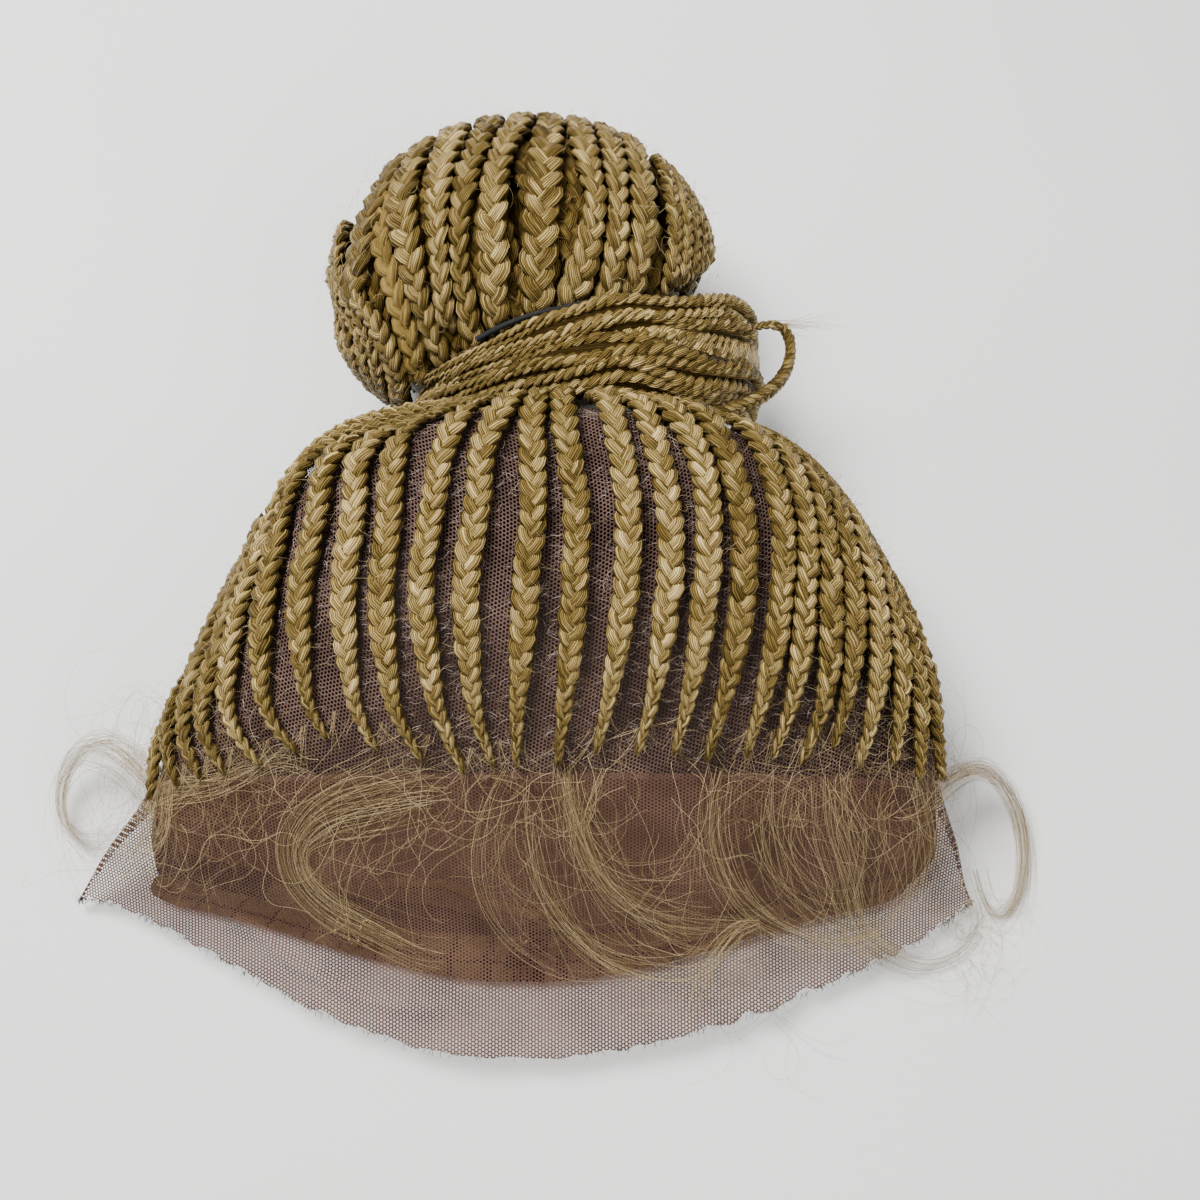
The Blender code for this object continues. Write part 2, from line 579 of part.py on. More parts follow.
def build_nape(materials, parent):
    """The stitched nape band, which lies on the inside of the net."""
    phis = np.arange(BAND_PHI[0], BAND_PHI[1] + 1.0, 360.0 / CAP_COLUMNS)
    wide = len(BAND_T)
    points, faces = [], []
    for phi in phis:
        low = [cap_point(phi, t) - cap_normal(phi, t) * (NET_WALL + BAND_GAP) for t in BAND_T]
        top = [cap_point(phi, t) - cap_normal(phi, t) * (NET_WALL + BAND_GAP + BAND_THICKNESS)
               for t in BAND_T]
        points += low + top[::-1]
    ring = 2 * wide
    for i in range(len(phis) - 1):
        for k in range(ring):
            nxt = (k + 1) % ring
            faces.append((i * ring + k, i * ring + nxt, (i + 1) * ring + nxt, (i + 1) * ring + k))
    for start in (0, (len(phis) - 1) * ring):
        for k in range(wide - 1):
            faces.append((start + k, start + k + 1, start + ring - 2 - k, start + ring - 1 - k))
    add_piece("nape_band", points, faces, materials["nape_band"], parent)


def build_comb(materials, parent):
    """The small comb: one flat outline with teeth, given a thickness."""
    x, y, z = COMB_CORNER
    pitch = COMB_LENGTH / (2 * COMB_TEETH - 1)
    outline = [(x - COMB_SPINE, y), (x - COMB_SPINE, y + COMB_LENGTH), (x, y + COMB_LENGTH)]
    for tooth in range(COMB_TEETH):
        high = y + COMB_LENGTH - 2 * tooth * pitch
        outline += [(x + COMB_TOOTH_REACH, high - 0.15 * pitch), (x + COMB_TOOTH_REACH, high - 0.85 * pitch)]
        if tooth < COMB_TEETH - 1:
            outline += [(x, high - pitch), (x, high - 2 * pitch)]
    count = len(outline)
    points = [(px, py, z) for px, py in outline] + [(px, py, z + COMB_THICKNESS) for px, py in outline]
    faces = [tuple(range(count))[::-1], tuple(range(count, 2 * count))]
    faces += [(k, (k + 1) % count, count + (k + 1) % count, count + k) for k in range(count)]
    add_piece("comb", points, faces, materials["comb"], parent)


def build_locks(materials, parent):
    """The three largest locks of baby hair."""
    centres, normals, wide, high = [], [], [], []
    for phi, t, lift, half_width, half_height in LOCK_SWEEP:
        normal = cap_normal(phi, t)
        centres.append(cap_point(phi, t) + normal * lift)
        normals.append(normal)
        wide.append(half_width)
        high.append(half_height)
    points, faces = sweep(centres, normals, wide, high, ROUNDED)
    add_piece("baby_hair_sweep", points, faces, materials["loose_hair"], parent)
    middle = (-20.0, -60.0, -60.0)
    for name, table in (("baby_hair_right", LOCK_RIGHT), ("baby_hair_left", LOCK_LEFT)):
        build_laid(name, table, middle, ROUNDED, materials["loose_hair"], parent)


def main():
    """Build the whole wig."""
    clear_scene()
    materials = make_materials()
    parent = bpy.data.objects.new("braid_wig", None)
    bpy.context.scene.collection.objects.link(parent)
    build_cap(materials, parent)
    build_cornrows(materials, parent)
    build_back_rows(materials, parent)
    build_bun(materials, parent)
    hair, middle = materials["braid_hair"], (-15.0, 92.0, 45.0)
    build_laid("wrap_lower", WRAP_LOWER, middle, ROUNDED, hair, parent)
    build_laid("wrap_upper", WRAP_UPPER, middle, ROUNDED, hair, parent)
    build_elastic(materials, parent)
    build_laid("stray_braid", STRAY_BRAID, middle, ROUNDED, hair, parent)
    build_nape(materials, parent)
    build_laid("panel_hem", PANEL_HEM, None, FLAT, materials["panel_hem"], parent)
    build_laid("adjuster_strap", ADJUSTER_STRAP, None, FLAT, materials["nape_band"], parent)
    build_laid("adjuster_hook", ADJUSTER_HOOK, None, FLAT, materials["adjuster_hook"], parent)
    build_comb(materials, parent)
    build_locks(materials, parent)


main()
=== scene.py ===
"""Looks of the braided lace wig: braids of fine synthetic hair, sheer net and nape fittings.

Sizes are in millimetres in the CAD's own layout and are moved and scaled to the frame's metres
when a mesh is made. The cap and the bun repeat the two surfaces that the CAD solids lie on.
"""
from __future__ import annotations

import logging
import math
from dataclasses import dataclass, field
from enum import Enum

import bpy
import numpy as np
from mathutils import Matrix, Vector


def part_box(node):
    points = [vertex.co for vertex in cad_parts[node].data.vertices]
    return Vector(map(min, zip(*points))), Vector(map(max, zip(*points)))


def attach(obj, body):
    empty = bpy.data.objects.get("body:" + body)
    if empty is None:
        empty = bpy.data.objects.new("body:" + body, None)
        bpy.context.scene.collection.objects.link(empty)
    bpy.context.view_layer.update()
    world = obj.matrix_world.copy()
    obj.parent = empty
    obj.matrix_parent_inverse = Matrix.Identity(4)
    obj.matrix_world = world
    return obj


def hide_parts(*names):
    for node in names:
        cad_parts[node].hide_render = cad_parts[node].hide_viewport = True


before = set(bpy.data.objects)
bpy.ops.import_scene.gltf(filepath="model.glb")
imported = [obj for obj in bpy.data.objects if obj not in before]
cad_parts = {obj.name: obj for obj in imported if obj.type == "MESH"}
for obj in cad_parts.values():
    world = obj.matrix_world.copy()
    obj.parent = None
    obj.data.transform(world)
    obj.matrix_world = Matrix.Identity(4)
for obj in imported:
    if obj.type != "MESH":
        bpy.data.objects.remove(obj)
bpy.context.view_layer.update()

LOG = logging.getLogger("braid_wig")
MM = 0.001
LAYOUT_CENTRE = np.array((-19.73, 12.06, 0.0))
Array = np.ndarray


# Small tools

def linear(hex_colour: str) -> tuple[float, float, float, float]:
    """Turn an sRGB hex colour into a linear one.

    Args:
        hex_colour: six hex digits, such as "a67c3d".

    Returns:
        Linear red, green and blue, with alpha 1.
    """
    parts = [int(hex_colour[i:i + 2], 16) / 255.0 for i in (0, 2, 4)]
    red, green, blue = (p / 12.92 if p <= 0.04045 else ((p + 0.055) / 1.055) ** 2.4 for p in parts)
    return red, green, blue, 1.0


def unit(vectors: Array) -> Array:
    """Scale vectors to length one.

    Args:
        vectors: array whose last axis is x, y, z.

    Returns:
        The same directions with length one.
    """
    return vectors / np.maximum(np.linalg.norm(vectors, axis=-1, keepdims=True), 1e-9)


def smooth_rows(table: Array, t: Array) -> Array:
    """Catmull-Rom values of a table of rows.

    Args:
        table: rows of values.
        t: row numbers, whole or not.

    Returns:
        One row of values for each t.
    """
    last = len(table) - 1
    t = np.clip(np.asarray(t, float), 0.0, last - 1e-9)
    row = np.floor(t).astype(int)
    share = (t - row)[..., None]
    here, there = table[row], table[row + 1]
    before = np.where((row == 0)[..., None], 2 * here - there, table[np.maximum(row - 1, 0)])
    after = np.where((row == last - 1)[..., None], 2 * there - here, table[np.minimum(row + 2, last)])
    return 0.5 * (2 * here + (there - before) * share
                  + (2 * before - 5 * here + 4 * there - after) * share ** 2
                  + (3 * here - before - 3 * there + after) * share ** 3)


def spline(rows: tuple | Array, count: int) -> Array:
    """Smooth values at evenly spaced places along a table of rows."""
    return smooth_rows(np.array(rows), np.linspace(0, len(rows) - 1, count))


def run_along(path: Array) -> Array:
    """Distance from the start of a path to each of its points."""
    return np.concatenate([[0.0], np.cumsum(np.linalg.norm(np.diff(path, axis=0), axis=1))])


def resample(points: Array, step: float, *others: Array) -> list[Array]:
    """Space the points of a path evenly.

    Args:
        points: path, n by 3, in millimetres.
        step: wanted spacing in millimetres.
        others: values that belong to the points.

    Returns:
        The new points and the new values.
    """
    run = run_along(points)
    count = max(int(math.ceil(run[-1] / step)) + 1, 3)
    at = np.linspace(0.0, run[-1], count)
    out = []
    for values in (points, *others):
        values = np.asarray(values, float)
        if values.ndim == 1:
            out.append(np.interp(at, run, values))
        else:
            out.append(np.stack([np.interp(at, run, values[:, k]) for k in range(values.shape[1])], axis=1))
    return out


def soften(values: Array, rounds: int = 2) -> Array:
    """Even out a path or a list of values, keeping its ends."""
    values = np.array(values, float)
    for _ in range(rounds):
        values[1:-1] = 0.25 * values[:-2] + 0.5 * values[1:-1] + 0.25 * values[2:]
    return values


def frames_along(path: Array, normals: Array) -> tuple[Array, Array, Array]:
    """Directions along, across and up at each point of a path.

    Args:
        path: points, (..., n, 3).
        normals: rough up directions of the same shape.

    Returns:
        Unit vectors along, across and up.
    """
    along = unit(np.gradient(path, axis=-2))
    across = unit(np.cross(along, normals))
    return along, across, np.cross(across, along)


@dataclass
class MeshData:
    """Points, faces and values of one mesh before Blender gets it."""

    points: list[Array] = field(default_factory=list)
    quads: list[Array] = field(default_factory=list)
    uvs: list[Array] = field(default_factory=list)
    tones: list[Array] = field(default_factory=list)
    count: int = 0

    def add(self, points: Array, quads: Array, uvs: Array, tones: Array) -> None:
        """Add one part.

        Args:
            points: n by 3, millimetres in the layout.
            quads: m by 4, numbered within this part.
            uvs: n by 2, millimetres along and around.
            tones: n values from 0 to 1.
        """
        self.points.append(points)
        self.quads.append(quads + self.count)
        self.uvs.append(uvs)
        self.tones.append(tones)
        self.count += len(points)

    def add_tube(self, rings: Array, along: Array, around: float, tone: float | Array) -> None:
        """Add a tube given as rings of points.

        Args:
            rings: n rings by k points by 3.
            along: run of each ring in millimetres.
            around: distance round the tube in millimetres.
            tone: one value, or one for each point of a ring.
        """
        count, lanes = rings.shape[:2]
        ring = np.arange(count - 1)[:, None] * lanes
        lane = np.arange(lanes)[None, :]
        nxt = (lane + 1) % lanes
        quads = np.stack([ring + lane, ring + nxt, ring + lanes + nxt, ring + lanes + lane], axis=-1)
        uv = np.stack(np.broadcast_arrays(np.asarray(along)[:, None], around * lane / lanes), axis=-1)
        tones = np.broadcast_to(np.asarray(tone, float), (count, lanes)).reshape(-1)
        self.add(rings.reshape(-1, 3), quads.reshape(-1, 4), uv.reshape(-1, 2), tones)

    def add_grid(self, grid: Array, uv: Array, tone: float = 0.5, closed: bool = False) -> None:
        """Add a sheet given as a grid of points.

        Args:
            grid: rows by columns by 3.
            uv: rows by columns by 2, millimetres.
            tone: one value for the sheet.
            closed: whether the last column joins the first.
        """
        rows, columns = grid.shape[:2]
        row = np.arange(rows - 1)[:, None] * columns
        col = np.arange(columns if closed else columns - 1)[None, :]
        nxt = (col + 1) % columns
        quads = np.stack([row + col, row + nxt, row + columns + nxt, row + columns + col], axis=-1)
        self.add(grid.reshape(-1, 3), quads.reshape(-1, 4), uv.reshape(-1, 2),
                 np.full(rows * columns, tone))

    def add_ends(self, rings: Array, tone: float = 0.5) -> None:
        """Close the first and the last ring of a tube with a flat fan each.

        Args:
            rings: n rings by k points by 3.
            tone: one value for both fans.
        """
        for ring in (rings[0], rings[-1]):
            fan = np.stack([np.broadcast_to(ring.mean(axis=0), ring.shape), ring])
            self.add_grid(fan, np.zeros((*fan.shape[:2], 2)), tone, closed=True)

    def build(self, name: str, material: bpy.types.Material) -> bpy.types.Object:
        """Make the Blender object.

        Args:
            name: name of the piece.
            material: its finish.

        Returns:
            The new object, linked to the scene.
        """
        points = np.concatenate(self.points)
        points[:, 2] = np.maximum(points[:, 2], 0.0)
        points = (points - LAYOUT_CENTRE) * MM
        quads = np.concatenate(self.quads)
        uvs = np.concatenate(self.uvs)
        tones = np.concatenate(self.tones)
        mesh = bpy.data.meshes.new(name)
        mesh.vertices.add(len(points))
        mesh.vertices.foreach_set("co", points.astype(np.float32).ravel())
        mesh.loops.add(quads.size)
        mesh.loops.foreach_set("vertex_index", quads.astype(np.int32).ravel())
        mesh.polygons.add(len(quads))
        mesh.polygons.foreach_set("loop_start", np.arange(0, quads.size, 4, dtype=np.int32))
        mesh.polygons.foreach_set("use_smooth", np.full(len(quads), True))
        mesh.update(calc_edges=True)
        layer = mesh.uv_layers.new(name="UVMap")
        layer.data.foreach_set("uv", uvs[quads.ravel()].astype(np.float32).ravel())
        tone = mesh.attributes.new("tone", "FLOAT", "POINT")
        tone.data.foreach_set("value", tones.astype(np.float32))
        mesh.materials.append(material)
        piece = bpy.data.objects.new(name, mesh)
        bpy.context.scene.collection.objects.link(piece)
        return piece


def settle(piece: bpy.types.Object, slot: str, *nodes: str) -> bpy.types.Object:
    """Attach a piece to the root and hide the CAD nodes that it stands for.

    Args:
        piece: the new piece.
        slot: not used.
        nodes: CAD nodes that it stands for.

    Returns:
        The same piece.
    """
    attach(piece, "root")
    if nodes:
        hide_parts(*nodes)
    LOG.info("%s: %d faces", piece.name, len(piece.data.polygons))
    return piece


# The two surfaces that everything lies on

@dataclass(frozen=True)
class CapShape:
    """The net cap as a surface: phi runs round the opening, t from crown to mouth edge."""

    top_roundness: float = 0.82
    under_roundness: float = 0.5
    edge_skew: float = 0.34
    # y and z on top, y and z at the sides, x left, x right, y and z underneath, bow top, bow under
    stations: tuple[tuple[float, ...], ...] = (
        (55.0, 48.0, 55.0, 47.0, -14.0, -12.0, 55.0, 46.0, 0.5, 0.5),
        (53.0, 64.0, 53.0, 46.0, -36.0, 10.0, 53.0, 24.0, 0.5, 0.5),
        (48.5, 82.0, 48.5, 44.0, -62.0, 34.0, 50.0, 11.0, 0.5, 0.5),
        (38.0, 97.0, 36.0, 40.0, -97.0, 68.0, 38.0, 6.5, 0.5, 0.5),
        (8.0, 97.0, 2.0, 38.0, -112.0, 91.0, 5.0, 6.5, 0.5, 0.5),
        (-26.0, 87.0, -32.0, 35.0, -128.0, 103.0, -30.0, 6.5, 0.5, 0.5),
        (-60.0, 68.0, -60.0, 30.0, -142.0, 108.0, -65.0, 6.0, 0.5, 0.6),
        (-90.0, 41.0, -76.0, 20.0, -157.0, 115.0, -95.0, 5.0, 0.8, 1.2),
        (-113.0, 21.0, -86.0, 11.0, -166.0, 119.0, -110.0, 3.6, 1.1, 2.0),
        (-142.0, 14.5, -92.0, 6.0, -171.0, 122.0, -119.0, 2.2, 1.35, 2.8),
    )

    def point(self, phi: Array | float, t: Array | float) -> Array:
        """Points on the outside of the net.

        Args:
            phi: degrees round the opening, 0 right, 90 top, 180 left, 270 underneath.
            t: station, 0 at the crown to 9 at the mouth edge.

        Returns:
            Points in millimetres.
        """
        phi, t = np.broadcast_arrays(np.asarray(phi, float), np.asarray(t, float))
        rows = smooth_rows(np.array(self.stations), t)
        y_top, z_top, y_side, z_side, left, right, y_under, z_under, bow_top, bow_under = (
            np.moveaxis(rows, -1, 0))
        across, up = np.cos(np.radians(phi)), np.sin(np.radians(phi))
        on_top = up >= 0.0
        power = np.where(on_top, self.top_roundness, self.under_roundness)
        reach = np.sign(across) * np.abs(across) ** power
        inside = np.maximum(1.0 - reach * reach, 1e-9)
        skew = self.edge_skew * reach * np.clip((bow_top - 0.5) / 0.85, 0.0, 1.0)
        bow = np.where(on_top, bow_top * (1.0 - skew), bow_under)
        y_end, z_end = np.where(on_top, y_top, y_under), np.where(on_top, z_top, z_under)
        return np.stack([
            (left + right) / 2.0 + (right - left) / 2.0 * reach,
            y_side + (y_end - y_side) * inside ** bow,
            z_side + (z_end - z_side) * np.abs(up) ** power,
        ], axis=-1)

    def normal(self, phi: Array | float, t: Array | float) -> Array:
        """Outward directions of the net at phi and t."""
        phi, t = np.asarray(phi, float), np.asarray(t, float)
        round_step = self.point(phi + 0.4, t) - self.point(phi - 0.4, t)
        long_step = self.point(phi, t + 0.02) - self.point(phi, t - 0.02)
        return unit(np.cross(round_step, long_step))


@dataclass(frozen=True)
class BunShape:
    """The bun as a surface: a runs from its left to its right pole, b round it."""

    centre: tuple[float, float, float] = (-26.0, 110.0, 52.0)
    turn: float = math.radians(10.0)
    half_length: float = 60.0
    half_front: float = 46.0
    half_back: float = 49.0
    half_up: float = 46.0
    half_down: float = 62.0

    def point(self, a: Array | float, b: Array | float, lift: Array | float = 0.0) -> tuple[Array, Array]:
        """Points above the bun core.

        Args:
            a: degrees from the left pole (0) to the right pole (180).
            b: degrees round, 0 facing the cap, 90 top, 180 back.
            lift: height above the core in millimetres.

        Returns:
            The points, and the outward directions there.
        """
        a, b, lift = np.broadcast_arrays(np.radians(np.asarray(a, float)),
                                         np.radians(np.asarray(b, float)), np.asarray(lift, float))
        depth = np.where(np.cos(b) > 0, self.half_front, self.half_back)
        height = np.where(np.sin(b) > 0, self.half_up, self.half_down)
        local = np.stack([-self.half_length * np.cos(a), -depth * np.sin(a) * np.cos(b),
                          height * np.sin(a) * np.sin(b)], axis=-1)
        normal = unit(local / np.stack([np.full_like(a, self.half_length), depth, height], axis=-1) ** 2)
        local = local + normal * lift[..., None]
        cos, sin = math.cos(self.turn), math.sin(self.turn)
        turn = np.array(((cos, sin, 0.0), (-sin, cos, 0.0), (0.0, 0.0, 1.0)))
        return np.array(self.centre) + local @ turn, normal @ turn


CAP = CapShape()
BUN = BunShape()


# Finishes

# bands in one unit of Blender's wave texture at scale 1
WAVES_PER_UNIT = 3.2
FIBRE_IOR = 1.50


def add_node(tree: bpy.types.NodeTree, kind: str, links: dict | None = None, **settings) -> bpy.types.Node:
    """Add one shader node.

    Args:
        tree: the material's node tree.
        kind: Blender's node type.
        links: input name or number to an output socket, or to a plain value.
        settings: attributes of the node.

    Returns:
        The new node.
    """
    node = tree.nodes.new(kind)
    for key, value in settings.items():
        setattr(node, key, value)
    plug(tree, node, links or {})
    return node


def plug(tree: bpy.types.NodeTree, node: bpy.types.Node, links: dict) -> None:
    """Give a node its inputs.

    Args:
        tree: the material's node tree.
        node: the node.
        links: input name or number to an output socket, or to a plain value.
    """
    for key, value in links.items():
        if isinstance(value, bpy.types.NodeSocket):
            tree.links.new(value, node.inputs[key])
        else:
            node.inputs[key].default_value = value


def blend(tree: bpy.types.NodeTree, first: bpy.types.NodeSocket, share: float,
          second: bpy.types.NodeSocket) -> bpy.types.NodeSocket:
    """First value times a share, plus the second."""
    return add_node(tree, "ShaderNodeMath", {0: first, 1: share, 2: second},
                    operation="MULTIPLY_ADD").outputs["Value"]


def stretch(tree: bpy.types.NodeTree, spot: bpy.types.NodeSocket,
            shares: tuple[float, float, float]) -> bpy.types.NodeSocket:
    """A place with each of its parts multiplied."""
    return add_node(tree, "ShaderNodeVectorMath", {0: spot, 1: shares},
                    operation="MULTIPLY").outputs["Vector"]


def raised(tree: bpy.types.NodeTree, height: bpy.types.NodeSocket, depth_mm: float,
           strength: float = 1.0) -> bpy.types.NodeSocket:
    """Directions of a surface that is raised by a height.

    Args:
        tree: the material's node tree.
        height: socket with the height, 0 to 1.
        depth_mm: height of the highest places in millimetres.
        strength: share of the effect.

    Returns:
        The socket with the directions.
    """
    return add_node(tree, "ShaderNodeBump", {"Height": height, "Strength": strength,
                                             "Distance": depth_mm * MM}).outputs["Normal"]


def cloth_place(tree: bpy.types.NodeTree) -> bpy.types.NodeSocket:
    """The place on the piece's own surface, in millimetres."""
    return add_node(tree, "ShaderNodeUVMap", uv_map="UVMap").outputs["UV"]


def strand_tone(tree: bpy.types.NodeTree) -> bpy.types.NodeSocket:
    """The lightness that each strand or hair was given; on braid strands it also holds painted light, lighter
    on top and darker at the sides and underneath.
    """
    return add_node(tree, "ShaderNodeAttribute", attribute_name="tone").outputs["Fac"]


def new_material(name: str) -> tuple[bpy.types.Material, bpy.types.NodeTree, bpy.types.Node]:
    """Make a material with its Principled shader.

    Args:
        name: name of the material.

    Returns:
        The material, its node tree and the shader node.
    """
    material = bpy.data.materials.new(name)
    material.use_nodes = True
    tree = material.node_tree
    return material, tree, tree.nodes["Principled BSDF"]


def ramp(tree: bpy.types.NodeTree, factor: bpy.types.NodeSocket,
         stops: tuple[tuple[float, str], ...]) -> bpy.types.NodeSocket:
    """Colour ramp from sRGB hex stops.

    Args:
        tree: the node tree.
        factor: socket that drives the ramp.
        stops: place and hex colour of each stop.

    Returns:
        The ramp's colour socket.
    """
    node = add_node(tree, "ShaderNodeValToRGB", {"Fac": factor})
    elements = node.color_ramp.elements
    while len(elements) < len(stops):
        elements.new(0.5)
    for element, (place, colour) in zip(elements, stops):
        element.position = place
        element.color = linear(colour)
    return node.outputs["Color"]


@dataclass(frozen=True)
class BraidingFibre:
    """Modacrylic braiding hair, melt-spun and crimped: fine parallel fibres with a soft gloss.

    The fibre is about 0.08 mm thick, too fine to show, so it is drawn as locks 0.5 mm wide that
    catch the light by turns and have dark lines between them.
    """

    name: str
    dark: str
    middle: str
    light: str
    gloss: str = "f4d796"
    roughness: float = 0.36
    fibre_mm: float = 0.5
    clump_mm: float = 1.3
    relief_mm: float = 0.22
    fibre_share: float = 0.42
    clump_share: float = 1.7
    shade_range: tuple[float, float] = (1.18, 2.3)

    def make(self) -> bpy.types.Material:
        """Build the material.

        Returns:
            The finished material.
        """
        material, tree, shader = new_material(self.name)
        uv = cloth_place(tree)
        tone = strand_tone(tree)
        fibres = add_node(tree, "ShaderNodeTexWave",
                          {"Vector": stretch(tree, uv, (0.07, 1.0, 1.0)),
                           "Scale": 1.0 / (self.fibre_mm * WAVES_PER_UNIT), "Distortion": 5.0,
                           "Detail": 2.0, "Detail Scale": 1.6}, bands_direction="Y").outputs["Fac"]
        clumps = add_node(tree, "ShaderNodeTexNoise",
                          {"Vector": stretch(tree, uv, (0.09, 1.0 / self.clump_mm, 1.0)), "Scale": 1.0,
                           "Detail": 3.0, "Roughness": 0.6}).outputs["Fac"]
        shade = blend(tree, clumps, self.clump_share, blend(tree, fibres, self.fibre_share, tone))
        darkest, lightest = self.shade_range
        spread = add_node(tree, "ShaderNodeMapRange",
                          {"Value": shade, "From Min": darkest, "From Max": lightest,
                           "To Min": 0.0, "To Max": 1.0}).outputs["Result"]
        tangent = add_node(tree, "ShaderNodeTangent", direction_type="UV_MAP", uv_map="UVMap")
        plug(tree, shader, {
            "Base Color": ramp(tree, spread, ((0.05, self.dark), (0.5, self.middle), (0.95, self.light))),
            "Normal": raised(tree, blend(tree, clumps, 1.5, fibres), self.relief_mm),
            "Tangent": tangent.outputs["Tangent"],
            "Anisotropic": 0.6, "Roughness": self.roughness, "IOR": FIBRE_IOR,
            "Specular IOR Level": 0.22, "Specular Tint": linear(self.gloss)})
        return material


@dataclass(frozen=True)
class LooseHair:
    """Single crimped fibres of the same hair, seen one by one: paler, with the light through them."""

    name: str
    dark: str
    light: str
    roughness: float = 0.45

    def make(self) -> bpy.types.Material:
        """Build the material.

        Returns:
            The finished material.
        """
        material, tree, shader = new_material(self.name)
        colour = ramp(tree, strand_tone(tree), ((0.0, self.dark), (1.0, self.light)))
        plug(tree, shader, {"Base Color": colour, "Roughness": self.roughness, "IOR": FIBRE_IOR,
                            "Specular IOR Level": 0.3})
        return material


@dataclass(frozen=True)
class HoneycombNet:
    """Warp-knitted polyester net with six-sided holes, sheer and matt."""

    name: str
    dark: str
    light: str
    hole_mm: float = 1.2
    openness: float = -0.25
    roughness: float = 0.8

    def make(self) -> bpy.types.Material:
        """Build the material.

        Returns:
            The finished material.
        """
        material, tree, shader = new_material(self.name)
        uv = cloth_place(tree)
        wave = 4.0 * math.pi / (math.sqrt(3.0) * self.hole_mm)
        total = None
        for degrees in (0.0, 120.0, 240.0):
            turn = math.radians(degrees)
            way = (wave * math.cos(turn), wave * math.sin(turn), 0.0)
            run = add_node(tree, "ShaderNodeVectorMath", {0: uv, 1: way}, operation="DOT_PRODUCT")
            cosine = add_node(tree, "ShaderNodeMath", {0: run.outputs["Value"]}, operation="COSINE")
            if total is None:
                total = cosine.outputs["Value"]
            else:
                total = add_node(tree, "ShaderNodeMath", {0: total, 1: cosine.outputs["Value"]},
                                 operation="ADD").outputs["Value"]
        thread = add_node(tree, "ShaderNodeMapRange",
                          {"Value": total, "From Min": self.openness + 0.3, "From Max": self.openness - 0.3,
                           "To Min": 0.0, "To Max": 1.0}).outputs["Result"]
        patches = add_node(tree, "ShaderNodeTexNoise", {"Vector": uv, "Scale": 0.05,
                                                        "Detail": 3.0}).outputs["Fac"]
        colour = ramp(tree, patches, ((0.35, self.dark), (0.65, self.light)))
        plug(tree, shader, {"Alpha": thread, "Base Color": colour, "Roughness": self.roughness,
                            "Specular IOR Level": 0.25})
        return material


@dataclass(frozen=True)
class Webbing:
    """Woven elastic or tape: ribs across the run, matt, with the odd bright thread."""

    name: str
    dark: str
    light: str
    rib_mm: float = 0.8
    relief_mm: float = 0.15
    roughness: float = 0.75

    def make(self) -> bpy.types.Material:
        """Build the material.

        Returns:
            The finished material.
        """
        material, tree, shader = new_material(self.name)
        uv = cloth_place(tree)
        ribs = add_node(tree, "ShaderNodeTexWave",
                        {"Vector": uv, "Scale": 1.0 / (self.rib_mm * WAVES_PER_UNIT),
                         "Distortion": 1.2, "Detail": 2.0}, bands_direction="X").outputs["Fac"]
        cross = add_node(tree, "ShaderNodeTexNoise", {"Vector": uv, "Scale": 2.0 / self.rib_mm,
                                                      "Detail": 2.0}).outputs["Fac"]
        shade = blend(tree, ribs, 0.5, cross)
        plug(tree, shader, {"Base Color": ramp(tree, shade, ((0.35, self.dark), (1.0, self.light))),
                            "Normal": raised(tree, shade, self.relief_mm), "Roughness": self.roughness})
        return material


@dataclass(frozen=True)
class SolidFinish:
    """A moulded plastic or plated wire with light mottling."""

    name: str
    dark: str
    light: str
    roughness: float
    metallic: float = 0.0
    mottle_mm: float = 3.0

    def make(self) -> bpy.types.Material:
        """Build the material.

        Returns:
            The finished material.
        """
        material, tree, shader = new_material(self.name)
        place = add_node(tree, "ShaderNodeTexCoord").outputs["Object"]
        mottle = add_node(tree, "ShaderNodeTexNoise", {"Vector": place, "Scale": 1000.0 / self.mottle_mm,
                                                       "Detail": 3.0}).outputs["Fac"]
        plug(tree, shader, {"Base Color": ramp(tree, mottle, ((0.35, self.dark), (0.65, self.light))),
                            "Normal": raised(tree, mottle, 0.05, strength=0.3),
                            "Roughness": self.roughness, "Metallic": self.metallic})
        return material


class Wardrobe:
    """Every finish of the wig, made once."""

    def __init__(self) -> None:
        """Make the materials."""
        self.braid = BraidingFibre("modacrylic_braid_honey", "2c2009", "745f2f", "dfc388").make()
        # a darker copy of the braid for the hair inside the bun, under the laid braids: painted shade
        self.braid_painted_shade = BraidingFibre("modacrylic_braid_painted_shade", "241a08", "5c481f", "9a8046").make()
        self.loose = LooseHair("modacrylic_single_hair", "5a4016", "e9d09a").make()
        self.pale = LooseHair("modacrylic_knotted_hair", "7c6456", "e6d4c6").make()
        self.net = HoneycombNet("polyester_honeycomb_net", "46322a", "6c5248", openness=-0.45).make()
        self.front_lace = HoneycombNet("nylon_front_lace", "4a3026", "664a3c", openness=0.15).make()
        self.lining = Webbing("knitted_lining", "412916", "5e4429", rib_mm=0.5, relief_mm=0.05).make()
        self.stretch_panel = Webbing("spandex_stretch_panel", "0c0603", "38281a", rib_mm=1.1).make()
        self.band = Webbing("woven_elastic_band", "3d2b12", "6e5a30", rib_mm=0.9).make()
        self.tape = Webbing("woven_binding_tape", "4a3416", "7e6232", rib_mm=0.7).make()
        self.seam = LooseHair("polyester_sewing_thread", "180e0a", "3a2820", roughness=0.6).make()
        self.comb = SolidFinish("moulded_comb_plastic", "2a120c", "4a2418", roughness=0.35).make()
        self.hook = SolidFinish("plated_spring_wire", "8f7a48", "cdb57c", roughness=0.28, metallic=1.0).make()
        self.elastic = SolidFinish("covered_rubber_elastic", "040404", "0a0909", roughness=0.85).make()
        self.floor = SolidFinish("matt_studio_paper", "ecebe8", "f2f1ee", roughness=0.9,
                                 mottle_mm=400.0).make()


# Braids

